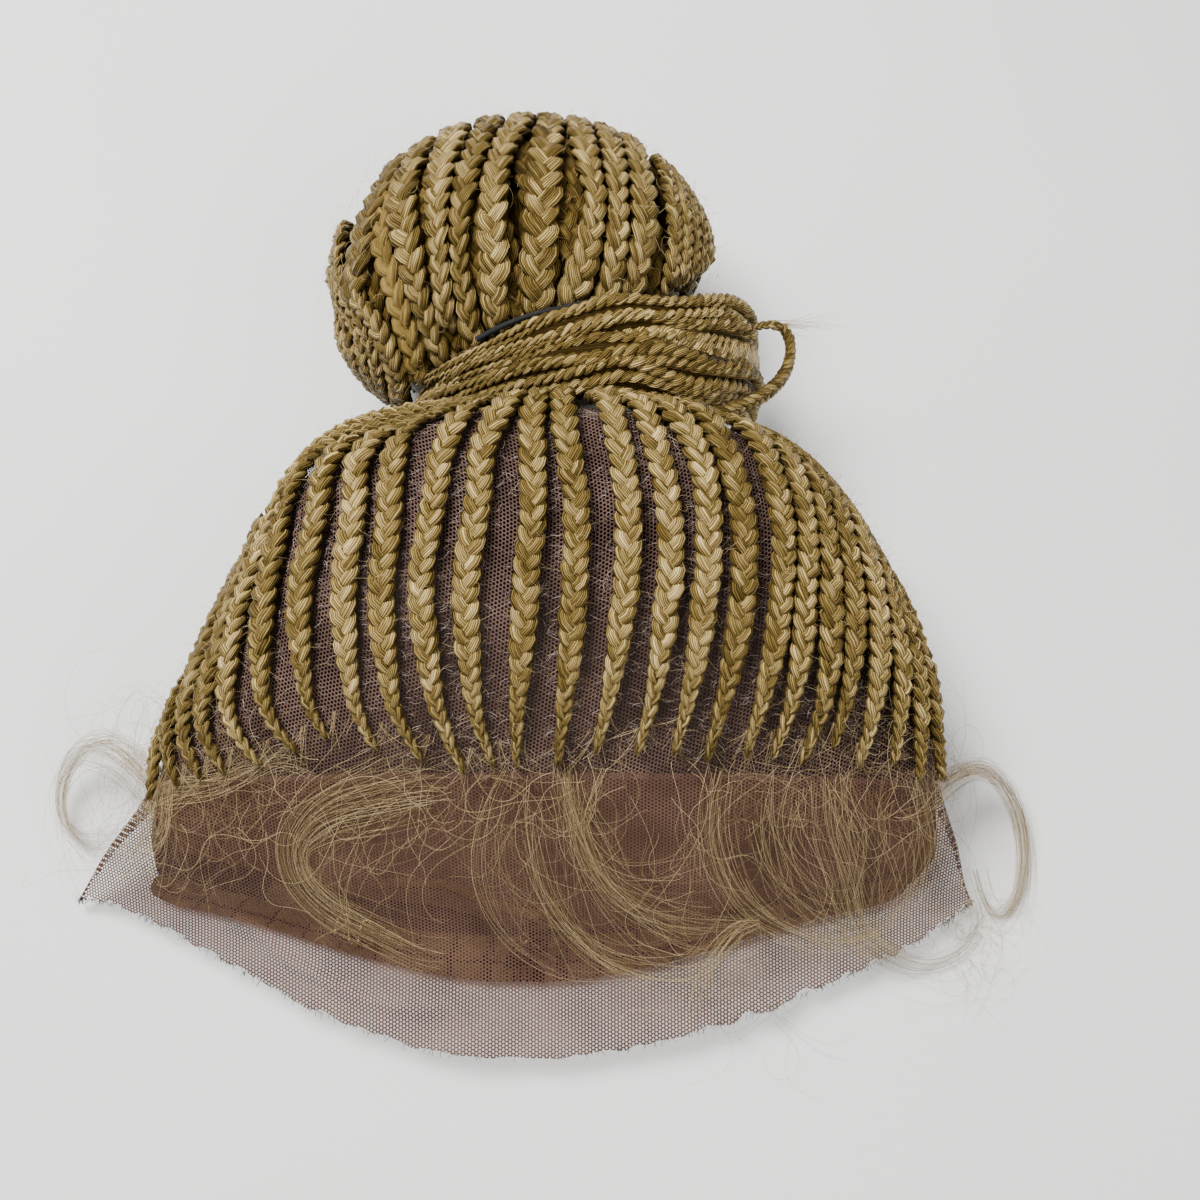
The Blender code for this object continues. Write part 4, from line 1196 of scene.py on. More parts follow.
@dataclass
class FootBundles(WigPart):
    """Bundles of thin twists wound round the foot of the bun, the elastic and the stray braid."""

    # x, y, z, half width, half height
    wrap_lower: tuple[tuple[float, ...], ...] = (
        (-60.0, 56.5, 52.0, 3.9, 3.0), (-50.0, 55.0, 66.0, 4.9, 4.0), (-33.0, 55.5, 79.0, 5.9, 4.5),
        (-14.0, 58.0, 86.0, 7.4, 4.5), (2.0, 58.5, 88.0, 9.3, 4.5), (18.0, 58.5, 84.0, 10.3, 4.5),
        (34.0, 60.5, 74.0, 10.3, 5.0), (46.0, 65.0, 58.0, 9.7, 5.0), (50.0, 66.5, 42.0, 6.9, 4.0),
        (48.0, 69.0, 28.0, 5.0, 3.4),
    )
    wrap_upper: tuple[tuple[float, ...], ...] = (
        (-58.0, 64.5, 59.0, 3.0, 3.4), (-44.0, 64.8, 77.0, 3.9, 4.2), (-27.0, 67.1, 86.5, 4.5, 4.6),
        (-12.0, 70.5, 91.0, 5.9, 4.7), (3.0, 73.7, 92.0, 6.8, 4.9), (17.0, 76.5, 89.0, 7.0, 5.4),
        (32.0, 79.2, 79.0, 8.3, 5.4), (44.5, 84.0, 63.0, 8.9, 6.0), (50.0, 87.5, 47.0, 6.5, 4.4),
        (48.0, 91.0, 31.0, 5.0, 3.4),
    )
    # a, b, lift above the bun core
    elastic: tuple[tuple[float, ...], ...] = (
        (73.0, 42.0, 6.0), (80.0, 45.5, 6.0), (88.0, 48.0, 6.5), (97.0, 49.0, 7.0),
        (108.0, 49.3, 7.0), (118.0, 49.0, 7.0),
    )
    # x, y, z, half width, half height
    stray: tuple[tuple[float, ...], ...] = (
        (21.0, 45.5, 86.2, 2.0, 1.8), (35.0, 48.7, 76.6, 2.2, 2.0), (49.0, 56.0, 72.5, 2.2, 2.0),
        (57.0, 64.0, 68.0, 2.2, 2.0), (61.5, 74.0, 64.0, 2.2, 2.0), (62.0, 83.0, 62.0, 2.2, 2.0),
        (59.0, 88.0, 61.0, 1.7, 1.6), (53.0, 88.0, 61.5, 1.5, 1.4), (47.0, 85.0, 63.0, 1.4, 1.2),
    )
    tuft_hairs: int = 34
    # what the bundles lie round
    middle: tuple[float, float, float] = (-15.0, 92.0, 45.0)

    def build(self) -> None:
        """Make the bundles, the elastic and the stray braid."""
        lower, upper = np.array(self.wrap_lower), np.array(self.wrap_upper)
        self.bundle("wrap_lower", lower, 7, "wrap_lower")
        self.bundle("wrap_upper", upper, 7, "wrap_upper")
        # a lower bundle between the two wraps, whose darkened core paints the shade in the gap between them
        self.bundle("wrap_between", (lower + upper) / 2.0 - (0.0, 0.0, 3.0, 1.0, 0.5), 3)
        rows = spline(self.elastic, 40)
        line, out = BUN.point(rows[:, 0], rows[:, 1], rows[:, 2])
        data = MeshData()
        HairMaker(self.rng, sides=10).rod(data, line, 0.9)
        settle(data.build("bun_elastic_band", self.finishes.elastic), "black_elastic", "bun_elastic")
        table = spline(self.stray, 50)
        data = MeshData()
        line = table[:, :3]
        BraidMaker(self.rng, lanes=8).lay(data, line, line - np.array(self.middle), table[:, 3],
                                          table[:, 4], period=7.5)
        settle(data.build("stray_braid_strands", self.finishes.braid), "braid_hair", "stray_braid")
        hairs = self.tuft_hairs
        share = np.linspace(0, 1, 9)[None, :, None]
        root = np.array((58.0, 88.0, 62.0)) + self.rng.normal(0, 0.8, (hairs, 1, 3))
        way = unit(np.array((1.0, 0.02, -0.1)) + self.rng.normal(0, 0.16, (hairs, 1, 3)))
        bend = self.rng.normal(0, 3.0, (hairs, 1, 3)) * (1.0, 1.0, 0.6)
        data = MeshData()
        straight = root + way * self.rng.uniform(5.0, 24.0, (hairs, 1, 1)) * share
        HairMaker(self.rng).hairs(data, straight + bend * share ** 2, radius=0.06)
        settle(data.build("stray_braid_tuft", self.finishes.loose), "loose_hair")

    def bundle(self, name: str, rows: Array, count: int, *nodes: str) -> None:
        """One bundle of thin twists round a core that is given a darker tone as painted shade between the
        twists.

        Args:
            name: start of the piece's name.
            rows: x, y, z, half width and half height along it.
            count: twists across its width.
            nodes: the CAD node, if it stands for one.
        """
        steps = 90
        table = spline(rows, steps)
        _, across, up = frames_along(table[:, :3], table[:, :3] - np.array(self.middle))
        data = MeshData()
        maker = BraidMaker(self.rng, lanes=6, rings_per_period=6)
        turn = 2 * math.pi * np.arange(16) / 16
        from_end = np.minimum(np.arange(steps), steps - 1 - np.arange(steps))
        ends = np.sqrt(np.clip(from_end / 6.0, 0.02, 1.0))[:, None, None]
        core = (table[:, None, :3]
                + across[:, None] * (table[:, 3, None] * 0.92 * np.cos(turn))[..., None] * ends
                + up[:, None] * (table[:, 4, None] * 0.55 * np.sin(turn))[..., None] * ends)
        # the core's low tone darkens it where it shows between the twists: painted shade
        data.add_tube(core, np.arange(steps) * 1.5, 30.0, -0.3)
        for height, share in ((-0.35, count), (0.45, count - 1)):
            for k in range(share):
                place = (k + 0.5) / share * 2.0 - 1.0
                drift = soften(self.rng.normal(0, 1, steps), 60) * 0.9
                drift -= drift.mean()
                side = np.clip(place * 0.92 + drift, -1.08, 1.08) * table[:, 3]
                rise = height * table[:, 4] * (1.0 - 0.25 * place ** 2)
                path = table[:, :3] + across * side[:, None] + up * rise[:, None]
                wide = np.maximum(table[:, 3] / share * self.rng.uniform(1.3, 1.7), 0.8)
                high = np.minimum(wide * 1.1, table[:, 4] * 0.55)
                maker.lay(data, path, up, wide, high, lay=Lay.TWIST, period=self.rng.uniform(6.0, 8.5),
                          tone=self.rng.normal(0.02, 0.1))
        settle(data.build(f"{name}_twists", self.finishes.braid), "braid_hair", *nodes)


@dataclass
class Net(WigPart):
    """The sheer net: cap, front lace with its cut edge, and the stretch panel under the head."""

    panel_end_t: float = 7.9
    lining_t: float = 5.6
    lace_seam_t: float = 6.12
    wall: float = 0.5
    # t, first and last phi of the panel and the lining there
    sides: tuple[tuple[float, ...], ...] = (
        (0.0, 166.0, 374.0), (4.2, 168.0, 372.0), (5.6, 171.0, 369.0), (6.1, 184.0, 356.0),
        (6.5, 199.0, 347.0), (7.0, 212.0, 338.0), (7.5, 220.0, 328.0), (8.0, 228.0, 320.0),
    )
    # x and y along the crease of the front lace
    crease: tuple[tuple[float, float], ...] = (
        (-124.0, -88.0), (-119.9, -94.7), (-116.0, -100.4), (-108.8, -103.8), (-98.3, -112.3),
        (-84.2, -119.3), (-72.6, -124.6), (-57.3, -126.9), (-44.0, -127.5),
    )
    crease_height: float = 3.2
    crease_width: float = 2.2
    # depths below the outside of the net
    crown_panel_depth: float = 1.4
    lining_depth: float = 1.25
    # x and t along the lower end of the lining
    lining_end: tuple[tuple[float, ...], tuple[float, ...]] = (
        (-150.0, -72.0, -48.0, -36.0, -24.0, -10.0, 90.0), (6.75, 7.0, 7.03, 7.2, 7.38, 7.4, 7.3),
    )
    cut_threads: int = 420

    def patch(self, phi: Array, t: Array, inset: float) -> tuple[Array, Array]:
        """A grid on the net and its unrolled sizes.

        Args:
            phi: degrees of the columns, one list or one for each row.
            t: stations of the rows.
            inset: depth below the outside of the net, in millimetres.

        Returns:
            The points and their places on the flat cloth in millimetres.
        """
        phi, t = np.broadcast_arrays(phi, t[:, None])
        rows, columns = phi.shape
        grid = CAP.point(phi, t) - CAP.normal(phi, np.maximum(t, 0.15)) * inset
        wide = np.linalg.norm(np.diff(grid, axis=1), axis=2)
        tall = np.linalg.norm(np.diff(grid, axis=0), axis=2)
        u = np.concatenate([np.zeros((rows, 1)), np.cumsum(wide, axis=1)], axis=1)
        v = np.concatenate([np.zeros((1, columns)), np.cumsum(tall, axis=0)], axis=0)
        return grid, np.stack([u - u[:, [columns // 2]], v], axis=-1)

    def across_sides(self, rows: Array, columns: int) -> Array:
        """Phi of each column, between the sides that hold at each row's t.

        Args:
            rows: stations, one for each row.
            columns: number of columns.

        Returns:
            Rows by columns of phi.
        """
        table = np.array(self.sides)
        first, last = (np.interp(rows, table[:, 0], table[:, k])[:, None] for k in (1, 2))
        return first + (last - first) * np.linspace(0, 1, columns)[None, :]

    def crease_rise(self, grid: Array, t: Array) -> Array:
        """How far the front lace stands up along its crease and in its soft waves.

        Args:
            grid: points of the net.
            t: their stations.

        Returns:
            Heights in millimetres.
        """
        line = spline(self.crease, 120)
        apart = np.linalg.norm(grid[..., None, :2] - line, axis=-1)
        nearest = apart.argmin(axis=-1)
        strength = np.sin(math.pi * np.clip(nearest / 119.0, 0.02, 0.98)) ** 0.6
        rise = self.crease_height * strength * np.exp(-(apart.min(axis=-1) / self.crease_width) ** 2)
        x, y = grid[..., 0], grid[..., 1]
        waves = 0.8 * np.sin(x / 13.0 + 1.2 * np.sin(y / 17.0)) + 0.5 * np.sin(x / 5.7 + y / 9.0)
        return rise * np.clip((t - 6.2) / 0.5, 0, 1) + waves * np.clip((t - 6.8) / 1.5, 0, 1)

    def build(self) -> None:
        """Make the pieces of net."""
        phi = np.linspace(-6.0, 186.0, 260)
        cap = self.patch(phi[::2], np.linspace(0.05, self.lace_seam_t, 80), self.wall)
        self.cloth("lace_cap_net", cap, self.finishes.net, "stretched", ["crown_panel", "stretch_panel"],
                   "lace_cap")
        t = np.linspace(self.lace_seam_t - 0.05, 9.0, 84)
        grid, _ = self.patch(phi, t, self.wall)
        grid[..., 2] += self.crease_rise(grid, t[:, None])
        ragged = soften(self.rng.normal(0, 1, len(phi)), 1) * 0.9
        outward = unit(grid[-1] - grid[-8]) * ragged[:, None]
        grid[-6:] += outward[None] * np.linspace(0, 1, 6)[:, None, None]
        profile = CAP.point(90.0, np.linspace(5.5, 9.0, 80))[::-1]
        run = run_along(profile)
        long = np.interp(grid[..., 1], profile[:, 1], run)
        flat = np.stack([grid[..., 0], long], axis=-1)
        self.cloth("lace_front_net", (grid, flat), self.finishes.front_lace, "draped",
                   ["nape_band_webbing", "nape_lining"], "lace_front")
        # a dark sheet of stretch panel inside the crown, under the net, that keeps the view through the net
        # dark there: painted shade
        crown = self.patch(np.linspace(-3.0, 183.0, 90), np.linspace(0.1, 2.85, 60), self.crown_panel_depth)
        self.cloth("crown_panel", crown, self.finishes.stretch_panel, "stretched", ["lace_cap_net"])
        rows = np.linspace(0.12, self.panel_end_t, 60)
        under = self.patch(self.across_sides(rows, 90), rows, self.wall)
        self.cloth("stretch_panel", under, self.finishes.stretch_panel, "laid", ["back_cornrow_4_braid"])
        self.build_lining()
        self.build_threads()

    def build_lining(self) -> None:
        """The beige lining over the panel, which ends at the hem tape."""
        share = np.linspace(0, 1, 30)
        spots = self.across_sides(self.lining_t + 1.7 * share, 90)
        x = CAP.point(spots[-1], 7.0)[:, 0]
        end = np.interp(x, *self.lining_end)
        rows = self.lining_t + (end[None, :] - self.lining_t) * share[:, None]
        grid = CAP.point(spots, rows) - CAP.normal(spots, rows) * self.lining_depth
        self.cloth("nape_lining", (grid, grid[..., :2]), self.finishes.lining, "laid", ["stretch_panel"])

    def build_threads(self) -> None:
        """Short cut threads along the edge of the front lace."""
        count = self.cut_threads
        spots = self.rng.uniform(2.0, 178.0, count)
        base = CAP.point(spots, 8.97) - CAP.normal(spots, 8.9) * self.wall
        out = unit(CAP.point(spots, 8.99) - CAP.point(spots, 8.9))
        out = out + self.rng.normal(0, 0.45, (count, 3)) * (1, 1, 0.3)
        length = self.rng.uniform(0.6, 2.6, count)
        share = np.linspace(0, 1, 4)
        paths = base[:, None] + unit(out)[:, None] * (length[:, None] * share)[..., None]
        paths[..., 2] += self.rng.normal(0, 0.5, (count, 1)) * share ** 2
        paths[..., 2] = np.maximum(paths[..., 2], 0.3)
        data = MeshData()
        HairMaker(self.rng).hairs(data, paths, radius=0.1, tone=(0.1, 0.6), taper=0.8)
        settle(data.build("cut_lace_threads", self.finishes.seam), "cap_net")

    def cloth(self, name: str, sheet: tuple[Array, Array], material: bpy.types.Material, held: str,
              rests_on: list[str], *nodes: str) -> None:
        """Make a piece of cloth.

        Args:
            name: name of the piece.
            sheet: its points, and their places on the flat cloth in millimetres.
            material: its finish.
            held: not used.
            rests_on: not used.
            nodes: the CAD node, if it stands for one.
        """
        grid, uv = sheet
        data = MeshData()
        data.add_grid(grid, uv)
        piece = settle(data.build(name, material), "cap_net", *nodes)


DARK_THREAD = (0.0, 0.3)


@dataclass
class NapeFittings(WigPart):
    """Band, seam, hem tape, comb, strap and hook at the nape."""

    band_phi: tuple[float, float] = (220.0, 320.0)
    band_t: tuple[float, float] = (7.5, 8.9)
    band_depth: tuple[float, float] = (1.35, 2.25)
    band_width: float = 18.0
    # degrees of phi over which each end of the band is rounded
    band_round: float = 13.0
    stitch_mm: float = 12.0
    thread: float = 0.4
    # x, y, z, half width, half height
    hem: tuple[tuple[float, ...], ...] = (
        (-72.0, -87.0, 7.1, 1.6, 0.45), (-60.0, -86.5, 7.2, 1.6, 0.45), (-48.0, -88.0, 7.1, 1.6, 0.45),
        (-36.0, -93.0, 7.0, 1.6, 0.45), (-24.0, -96.5, 6.9, 1.6, 0.45), (-14.0, -96.5, 6.9, 1.6, 0.45),
    )
    strap: tuple[tuple[float, ...], ...] = (
        (-108.0, -88.5, 8.0, 3.0, 0.45), (-102.0, -91.5, 7.8, 3.2, 0.45),
        (-95.0, -95.0, 7.5, 3.2, 0.45), (-89.0, -97.5, 7.5, 3.2, 0.45),
    )
    hook: tuple[tuple[float, ...], ...] = (
        (-86.0, -103.0, 7.6), (-84.5, -97.5, 7.6), (-81.5, -98.0, 7.6), (-81.0, -105.0, 7.6),
        (-78.5, -106.0, 7.6), (-77.0, -99.5, 7.6), (-74.0, -100.0, 7.6), (-73.5, -107.0, 7.6),
    )
    comb_corner: tuple[float, float, float] = (-23.0, -110.7, 6.9)
    comb_spine: float = 3.0
    comb_length: float = 12.0
    comb_teeth: int = 5
    tooth_reach: float = 7.0

    def build(self) -> None:
        """Make the fittings."""
        self.build_band()
        self.build_tape("panel_hem_tape", self.hem, self.finishes.tape, "panel_hem", "panel_hem")
        self.build_tape("adjuster_webbing", self.strap, self.finishes.band, "nape_band", "adjuster_strap")
        line = spline(self.hook, 60)
        data = MeshData()
        HairMaker(self.rng, sides=10).rod(data, line, 0.55)
        settle(data.build("adjuster_wire_hook", self.finishes.hook), "adjuster_hook", "adjuster_hook")
        self.build_comb()

    def on_band(self, phi: Array, t: Array, depth: Array | float) -> Array:
        """Points at a depth below the outside of the net."""
        return CAP.point(phi, t) - CAP.normal(phi, t) * np.asarray(depth)[..., None]

    def rounding(self, phi: Array, least: float = 0.0) -> Array:
        """Share of the band's width that is left at phi, where its ends are rounded."""
        start, end = self.band_phi
        return np.sqrt(np.clip(np.minimum(phi - start, end - phi) / self.band_round, least, 1.0))

    def build_band(self) -> None:
        """The double elastic band with its middle seam and cross stitches."""
        steps, half = 140, 18
        phi = np.linspace(*self.band_phi, steps)
        share = np.concatenate([np.linspace(0, 1, half), np.linspace(1, 0, half)])
        low, high = self.band_depth
        depth = np.concatenate([np.full(half, low), np.full(half, high)])
        swell = 0.25 * np.abs(np.sin(np.pi * 2 * share)) ** 0.5
        depth = depth + np.where(np.arange(2 * half) >= half, swell - 0.15, 0.0)
        spots = np.broadcast_to(phi[:, None], (steps, 2 * half))
        first, last = self.band_t
        ends = self.rounding(phi, 0.004)[:, None]
        rows = first + (last - first) * share[None, :] * (0.1 + 0.9 * ends)
        grid = self.on_band(spots, rows, np.broadcast_to(depth, spots.shape))
        run = run_along(grid[:, half + half // 2])
        uv = np.stack(np.broadcast_arrays(run[:, None], (share * self.band_width)[None, :]), axis=-1)
        data = MeshData()
        data.add_grid(grid, uv, closed=True)
        data.add_ends(grid)
        settle(data.build("nape_band_webbing", self.finishes.band), "nape_band", "nape_band")
        data = MeshData()
        maker = HairMaker(self.rng, sides=6)
        middle = np.linspace(*self.band_phi, 240)
        zigzag = 7.55 + 0.65 * self.rounding(middle) + 0.03 * np.sign(np.sin(np.arange(240) * 1.9))
        maker.rod(data, self.on_band(middle, zigzag, high - 0.1), self.thread, DARK_THREAD)
        for at in np.arange(6.0, run[-1] - 4.0, self.stitch_mm):
            spot = float(np.interp(at, run, phi))
            reach = 0.1 + 0.9 * float(self.rounding(np.array(spot)))
            rows = first + (last - first) * reach * np.linspace(0.04, 0.96, 30)
            wave = spot + 0.12 * np.sign(np.sin(np.arange(30) * 2.2))
            maker.rod(data, self.on_band(wave, rows, high - 0.05), self.thread, DARK_THREAD)
        settle(data.build("nape_band_stitches", self.finishes.seam), "nape_band")

    def build_tape(self, name: str, rows: tuple[tuple[float, ...], ...], material: bpy.types.Material,
                   slot: str, node: str) -> None:
        """A flat woven tape.

        Args:
            name: name of the piece.
            rows: x, y, z, half width and half height along it.
            material: its finish.
            slot: its material slot.
            node: the CAD node.
        """
        table = spline(rows, 40)
        _, across, up = frames_along(table[:, :3], np.tile((0.0, 0.0, 1.0), (40, 1)))
        corners = np.array([(-1, -0.6), (-0.9, -1), (0.9, -1), (1, -0.6),
                            (1, 0.6), (0.9, 1), (-0.9, 1), (-1, 0.6)])
        rings = (table[:, None, :3] + across[:, None] * (corners[:, 0] * table[:, [3]])[..., None]
                 + up[:, None] * (corners[:, 1] * table[:, [4]])[..., None])
        run = run_along(table[:, :3])
        data = MeshData()
        data.add_tube(rings, run, 8.0, 0.5)
        data.add_ends(rings)
        settle(data.build(name, material), slot, node)

    def build_comb(self) -> None:
        """The moulded comb with round teeth and its sewn eyelet."""
        x, y, z = self.comb_corner
        middle = z + 0.7
        data = MeshData()
        maker = HairMaker(np.random.default_rng(5), sides=10)
        spine = np.array([(x - self.comb_spine / 2, y + k, middle) for k in np.linspace(0.8, 11.2, 12)])
        maker.rod(data, spine, 0.75)
        maker.rod(data, spine + (1.0, 0.0, 0.0), 0.6)
        pitch = self.comb_length / (2 * self.comb_teeth - 1)
        for tooth in range(self.comb_teeth):
            at = y + self.comb_length - (2 * tooth + 0.5) * pitch
            reach = np.linspace(0.0, self.tooth_reach, 10)
            line = np.stack([x - 0.5 + reach, np.full(10, at), middle - 0.25 * np.sin(reach / 3.0)], axis=1)
            maker.rod(data, line, 0.5, taper=0.5)
        settle(data.build("comb_teeth", self.finishes.comb), "comb", "comb")
        turn = np.linspace(0, 2 * math.pi, 40)
        loop = np.stack([x - 1.6 + 1.1 * np.cos(turn), y + 6.0 + 1.5 * np.sin(turn),
                         np.full(40, middle + 0.85)], axis=1)
        data = MeshData()
        maker.rod(data, loop, 0.22)
        settle(data.build("comb_eyelet", self.finishes.hook), "adjuster_hook")


class LaceRelief:
    """Height of the front lace over the table, falling to the table beyond its edge."""

    cell: float = 2.0
    margin: float = 40.0
    fall: float = 1.1
    floor: float = 0.8
    rounds: int = 80

    def __init__(self) -> None:
        """Sample the lace on a grid and let the height fall off round it."""
        spots, rows = np.meshgrid(np.linspace(0.0, 180.0, 900), np.linspace(3.5, 9.0, 500))
        points = CAP.point(spots, rows).reshape(-1, 3)
        self.low = points[:, :2].min(axis=0) - self.margin
        size = np.ceil((points[:, :2].max(axis=0) + self.margin - self.low) / self.cell).astype(int) + 2
        height = np.full(size, -1.0)
        place = ((points[:, :2] - self.low) / self.cell).round().astype(int)
        np.maximum.at(height, (place[:, 0], place[:, 1]), points[:, 2])
        for _ in range(self.rounds):
            spread = height.copy()
            for axis in (0, 1):
                for step in (-1, 1):
                    spread = np.maximum(spread, np.roll(height, step, axis=axis) - self.fall * self.cell)
            height = np.where(height > 0.0, np.maximum(height, spread), spread)
        self.height = np.maximum(height, self.floor)

    def __call__(self, x: Array, y: Array) -> Array:
        """Heights at x and y, in millimetres."""
        across = np.clip((x - self.low[0]) / self.cell, 0, self.height.shape[0] - 1.001)
        deep = np.clip((y - self.low[1]) / self.cell, 0, self.height.shape[1] - 1.001)
        i, j = across.astype(int), deep.astype(int)
        u, v = across - i, deep - j
        grid = self.height
        return ((grid[i, j] * (1 - u) + grid[i + 1, j] * u) * (1 - v)
                + (grid[i, j + 1] * (1 - u) + grid[i + 1, j + 1] * u) * v)


@dataclass
class LooseHairs(WigPart):
    """Every single hair: knots beside the rows, frayed ends, baby hair and fly-aways."""

    knots_per_mm: float = 0.5
    knot_length: tuple[float, float] = (1.5, 4.5)
    fuzz_per_mm: float = 0.26
    frayed: int = 11
    bun_fuzz: int = 800
    locks_in_lock: int = 5
    lock_steps: int = 60
    curl_hairs: int = 120
    # furthest that a fly-away goes in x, and the point that the curls turn away from
    fly_limits: tuple[float, float] = (-186.0, 146.0)
    curl_middle: tuple[float, float, float] = (-20.0, -60.0, -60.0)
    # name, hairs, half widths at the root, the middle and the tip, then x and y along the lock
    locks: tuple[tuple, ...] = (
        ("sweep", 90, 9.0, 4.5, 1.8, (
            (-44.0, -60.0), (-56.0, -62.0), (-69.0, -65.0), (-83.0, -69.0), (-93.5, -78.0),
            (-93.5, -89.0), (-84.0, -98.5), (-70.0, -105.0), (-58.0, -110.5), (-49.0, -112.5))),
        ("sweep_inner", 14, 8.0, 7.0, 3.0, (
            (-42.0, -64.0), (-56.0, -72.0), (-70.0, -80.0), (-78.0, -90.0), (-74.0, -102.0),
            (-62.0, -108.0))),
        ("centre", 80, 9.0, 6.0, 1.4, (
            (-2.0, -60.0), (-3.5, -70.0), (-2.0, -80.0), (6.0, -92.0), (24.0, -98.5), (48.0, -100.7))),
        ("centre_low", 64, 8.0, 7.0, 1.8, (
            (-15.0, -61.0), (-14.0, -77.0), (-8.0, -93.0), (7.0, -106.0), (26.0, -111.0),
            (38.0, -106.0), (48.0, -101.0))),
        ("tail", 30, 1.5, 2.6, 2.0, (
            (50.0, -100.0), (42.0, -103.0), (34.0, -113.0), (29.0, -125.0), (28.0, -136.0))),
        ("centre_left", 26, 7.0, 6.0, 4.0, (
            (-24.0, -61.0), (-31.0, -73.0), (-33.0, -88.0), (-24.0, -102.0), (-8.0, -111.0),
            (10.0, -113.0))),
        ("right_one", 62, 7.0, 4.0, 1.2, (
            (40.0, -60.0), (38.5, -76.0), (46.0, -92.0), (61.0, -101.4), (76.0, -105.0),
            (88.0, -102.5), (97.0, -93.0), (104.0, -80.0))),
        ("right_two", 30, 7.0, 6.0, 2.0, (
            (54.0, -60.0), (52.0, -76.0), (58.0, -90.0), (72.0, -101.0), (84.0, -105.0))),
        ("right_three", 56, 4.5, 3.0, 1.2, (
            (67.0, -59.0), (68.0, -75.0), (75.7, -90.0), (81.0, -101.0), (88.5, -108.0), (99.0, -112.0),
            (110.0, -112.0), (120.0, -106.5), (124.0, -98.5), (121.0, -94.0), (114.0, -99.0))),
        ("right_fill", 44, 9.0, 8.0, 5.0, ((80.0, -59.0), (83.0, -76.0), (86.0, -91.0), (92.0, -103.0))),
        ("right_out", 36, 6.0, 6.0, 4.0, ((94.0, -58.0), (98.0, -72.0), (101.0, -84.0), (103.0, -95.0))),
        ("left_fall", 80, 4.5, 4.0, 2.0, (
            (-131.0, -56.0), (-134.0, -66.0), (-137.0, -74.0), (-144.0, -80.0), (-153.0, -86.0))),
        ("left_line", 56, 4.0, 4.0, 7.0, (
            (-140.0, -66.0), (-126.0, -63.0), (-112.0, -62.0), (-96.0, -59.0), (-84.0, -60.0))),
        ("left_small", 12, 6.0, 6.0, 5.0, (
            (-108.0, -60.0), (-114.0, -72.0), (-112.0, -86.0), (-102.0, -96.0))),
    )
    # hairs, box of their roots in x and y, height of those in the air, lengths, usual bend in radians
    flies: tuple[tuple, ...] = (
        (230, (-120.0, -78.0, 92.0, -56.0), None, (14.0, 48.0), 1.6),
        (90, (-150.0, -74.0, -128.0, -44.0), 34.0, (25.0, 75.0), 4.2),
        (60, (86.0, -74.0, 108.0, -52.0), 30.0, (25.0, 70.0), 3.8),
        (50, (112.0, -112.0, 128.0, -92.0), None, (14.0, 40.0), 3.4),
        (36, (20.0, -132.0, 62.0, -104.0), None, (14.0, 40.0), 2.6),
    )
    # x, y, z, half width
    right_curl: tuple[tuple[float, ...], ...] = (
        (90.0, -66.0, 47.0, 5.0), (100.0, -64.0, 43.0, 5.0), (109.0, -58.5, 38.0, 4.4),
        (117.0, -54.5, 32.0, 3.6), (126.0, -53.0, 23.0, 3.2), (135.0, -59.5, 14.0, 2.8),
        (139.5, -70.0, 8.0, 2.4), (140.0, -82.0, 4.0, 2.0), (137.0, -92.0, 2.6, 1.8),
        (131.5, -97.0, 2.6, 1.6), (127.0, -93.0, 2.4, 1.6), (124.5, -82.0, 2.4, 1.8),
    )
    left_curl: tuple[tuple[float, ...], ...] = (
        (-130.0, -64.0, 46.0, 4.5), (-139.0, -60.5, 42.0, 4.8), (-148.0, -53.0, 37.0, 5.2),
        (-160.0, -46.5, 28.0, 5.6), (-171.5, -47.0, 19.0, 5.0), (-178.0, -55.0, 12.0, 4.5),
        (-178.0, -66.0, 8.0, 4.2), (-170.0, -73.0, 6.0, 4.0), (-160.0, -71.0, 5.0, 4.0),
    )

    def build(self, rows: Cornrows) -> None:
        """Make every loose hair.

        Args:
            rows: the cornrows that the hairs grow beside.
        """
        relief = LaceRelief()
        self.build_knots(rows)
        self.build_frays(rows)
        steps = self.lock_steps
        for name, hairs, *wide, spots in self.locks:
            path = np.concatenate([spline(spots, steps), np.zeros((steps, 1))], axis=1)
            out = np.tile((0.0, 0.0, 1.0), (steps, 1))
            data = MeshData()
            wide = np.interp(np.linspace(0, 2, steps), (0, 1, 2), wide)
            self.lock(data, path, out, wide, hairs, relief)
            nodes = ("baby_hair_sweep",) if name == "sweep" else ()
            settle(data.build(f"baby_hair_{name}", self.finishes.loose), "loose_hair", *nodes)
        for side, table in (("right", self.right_curl), ("left", self.left_curl)):
            path = spline(table, steps)
            out = unit(path[:, :3] - np.array(self.curl_middle))
            data = MeshData()
            self.lock(data, path[:, :3], out, path[:, 3], self.curl_hairs)
            node = f"baby_hair_{side}"
            settle(data.build(f"{node}_curl", self.finishes.loose), "loose_hair", node)
        self.build_flyaways(relief)

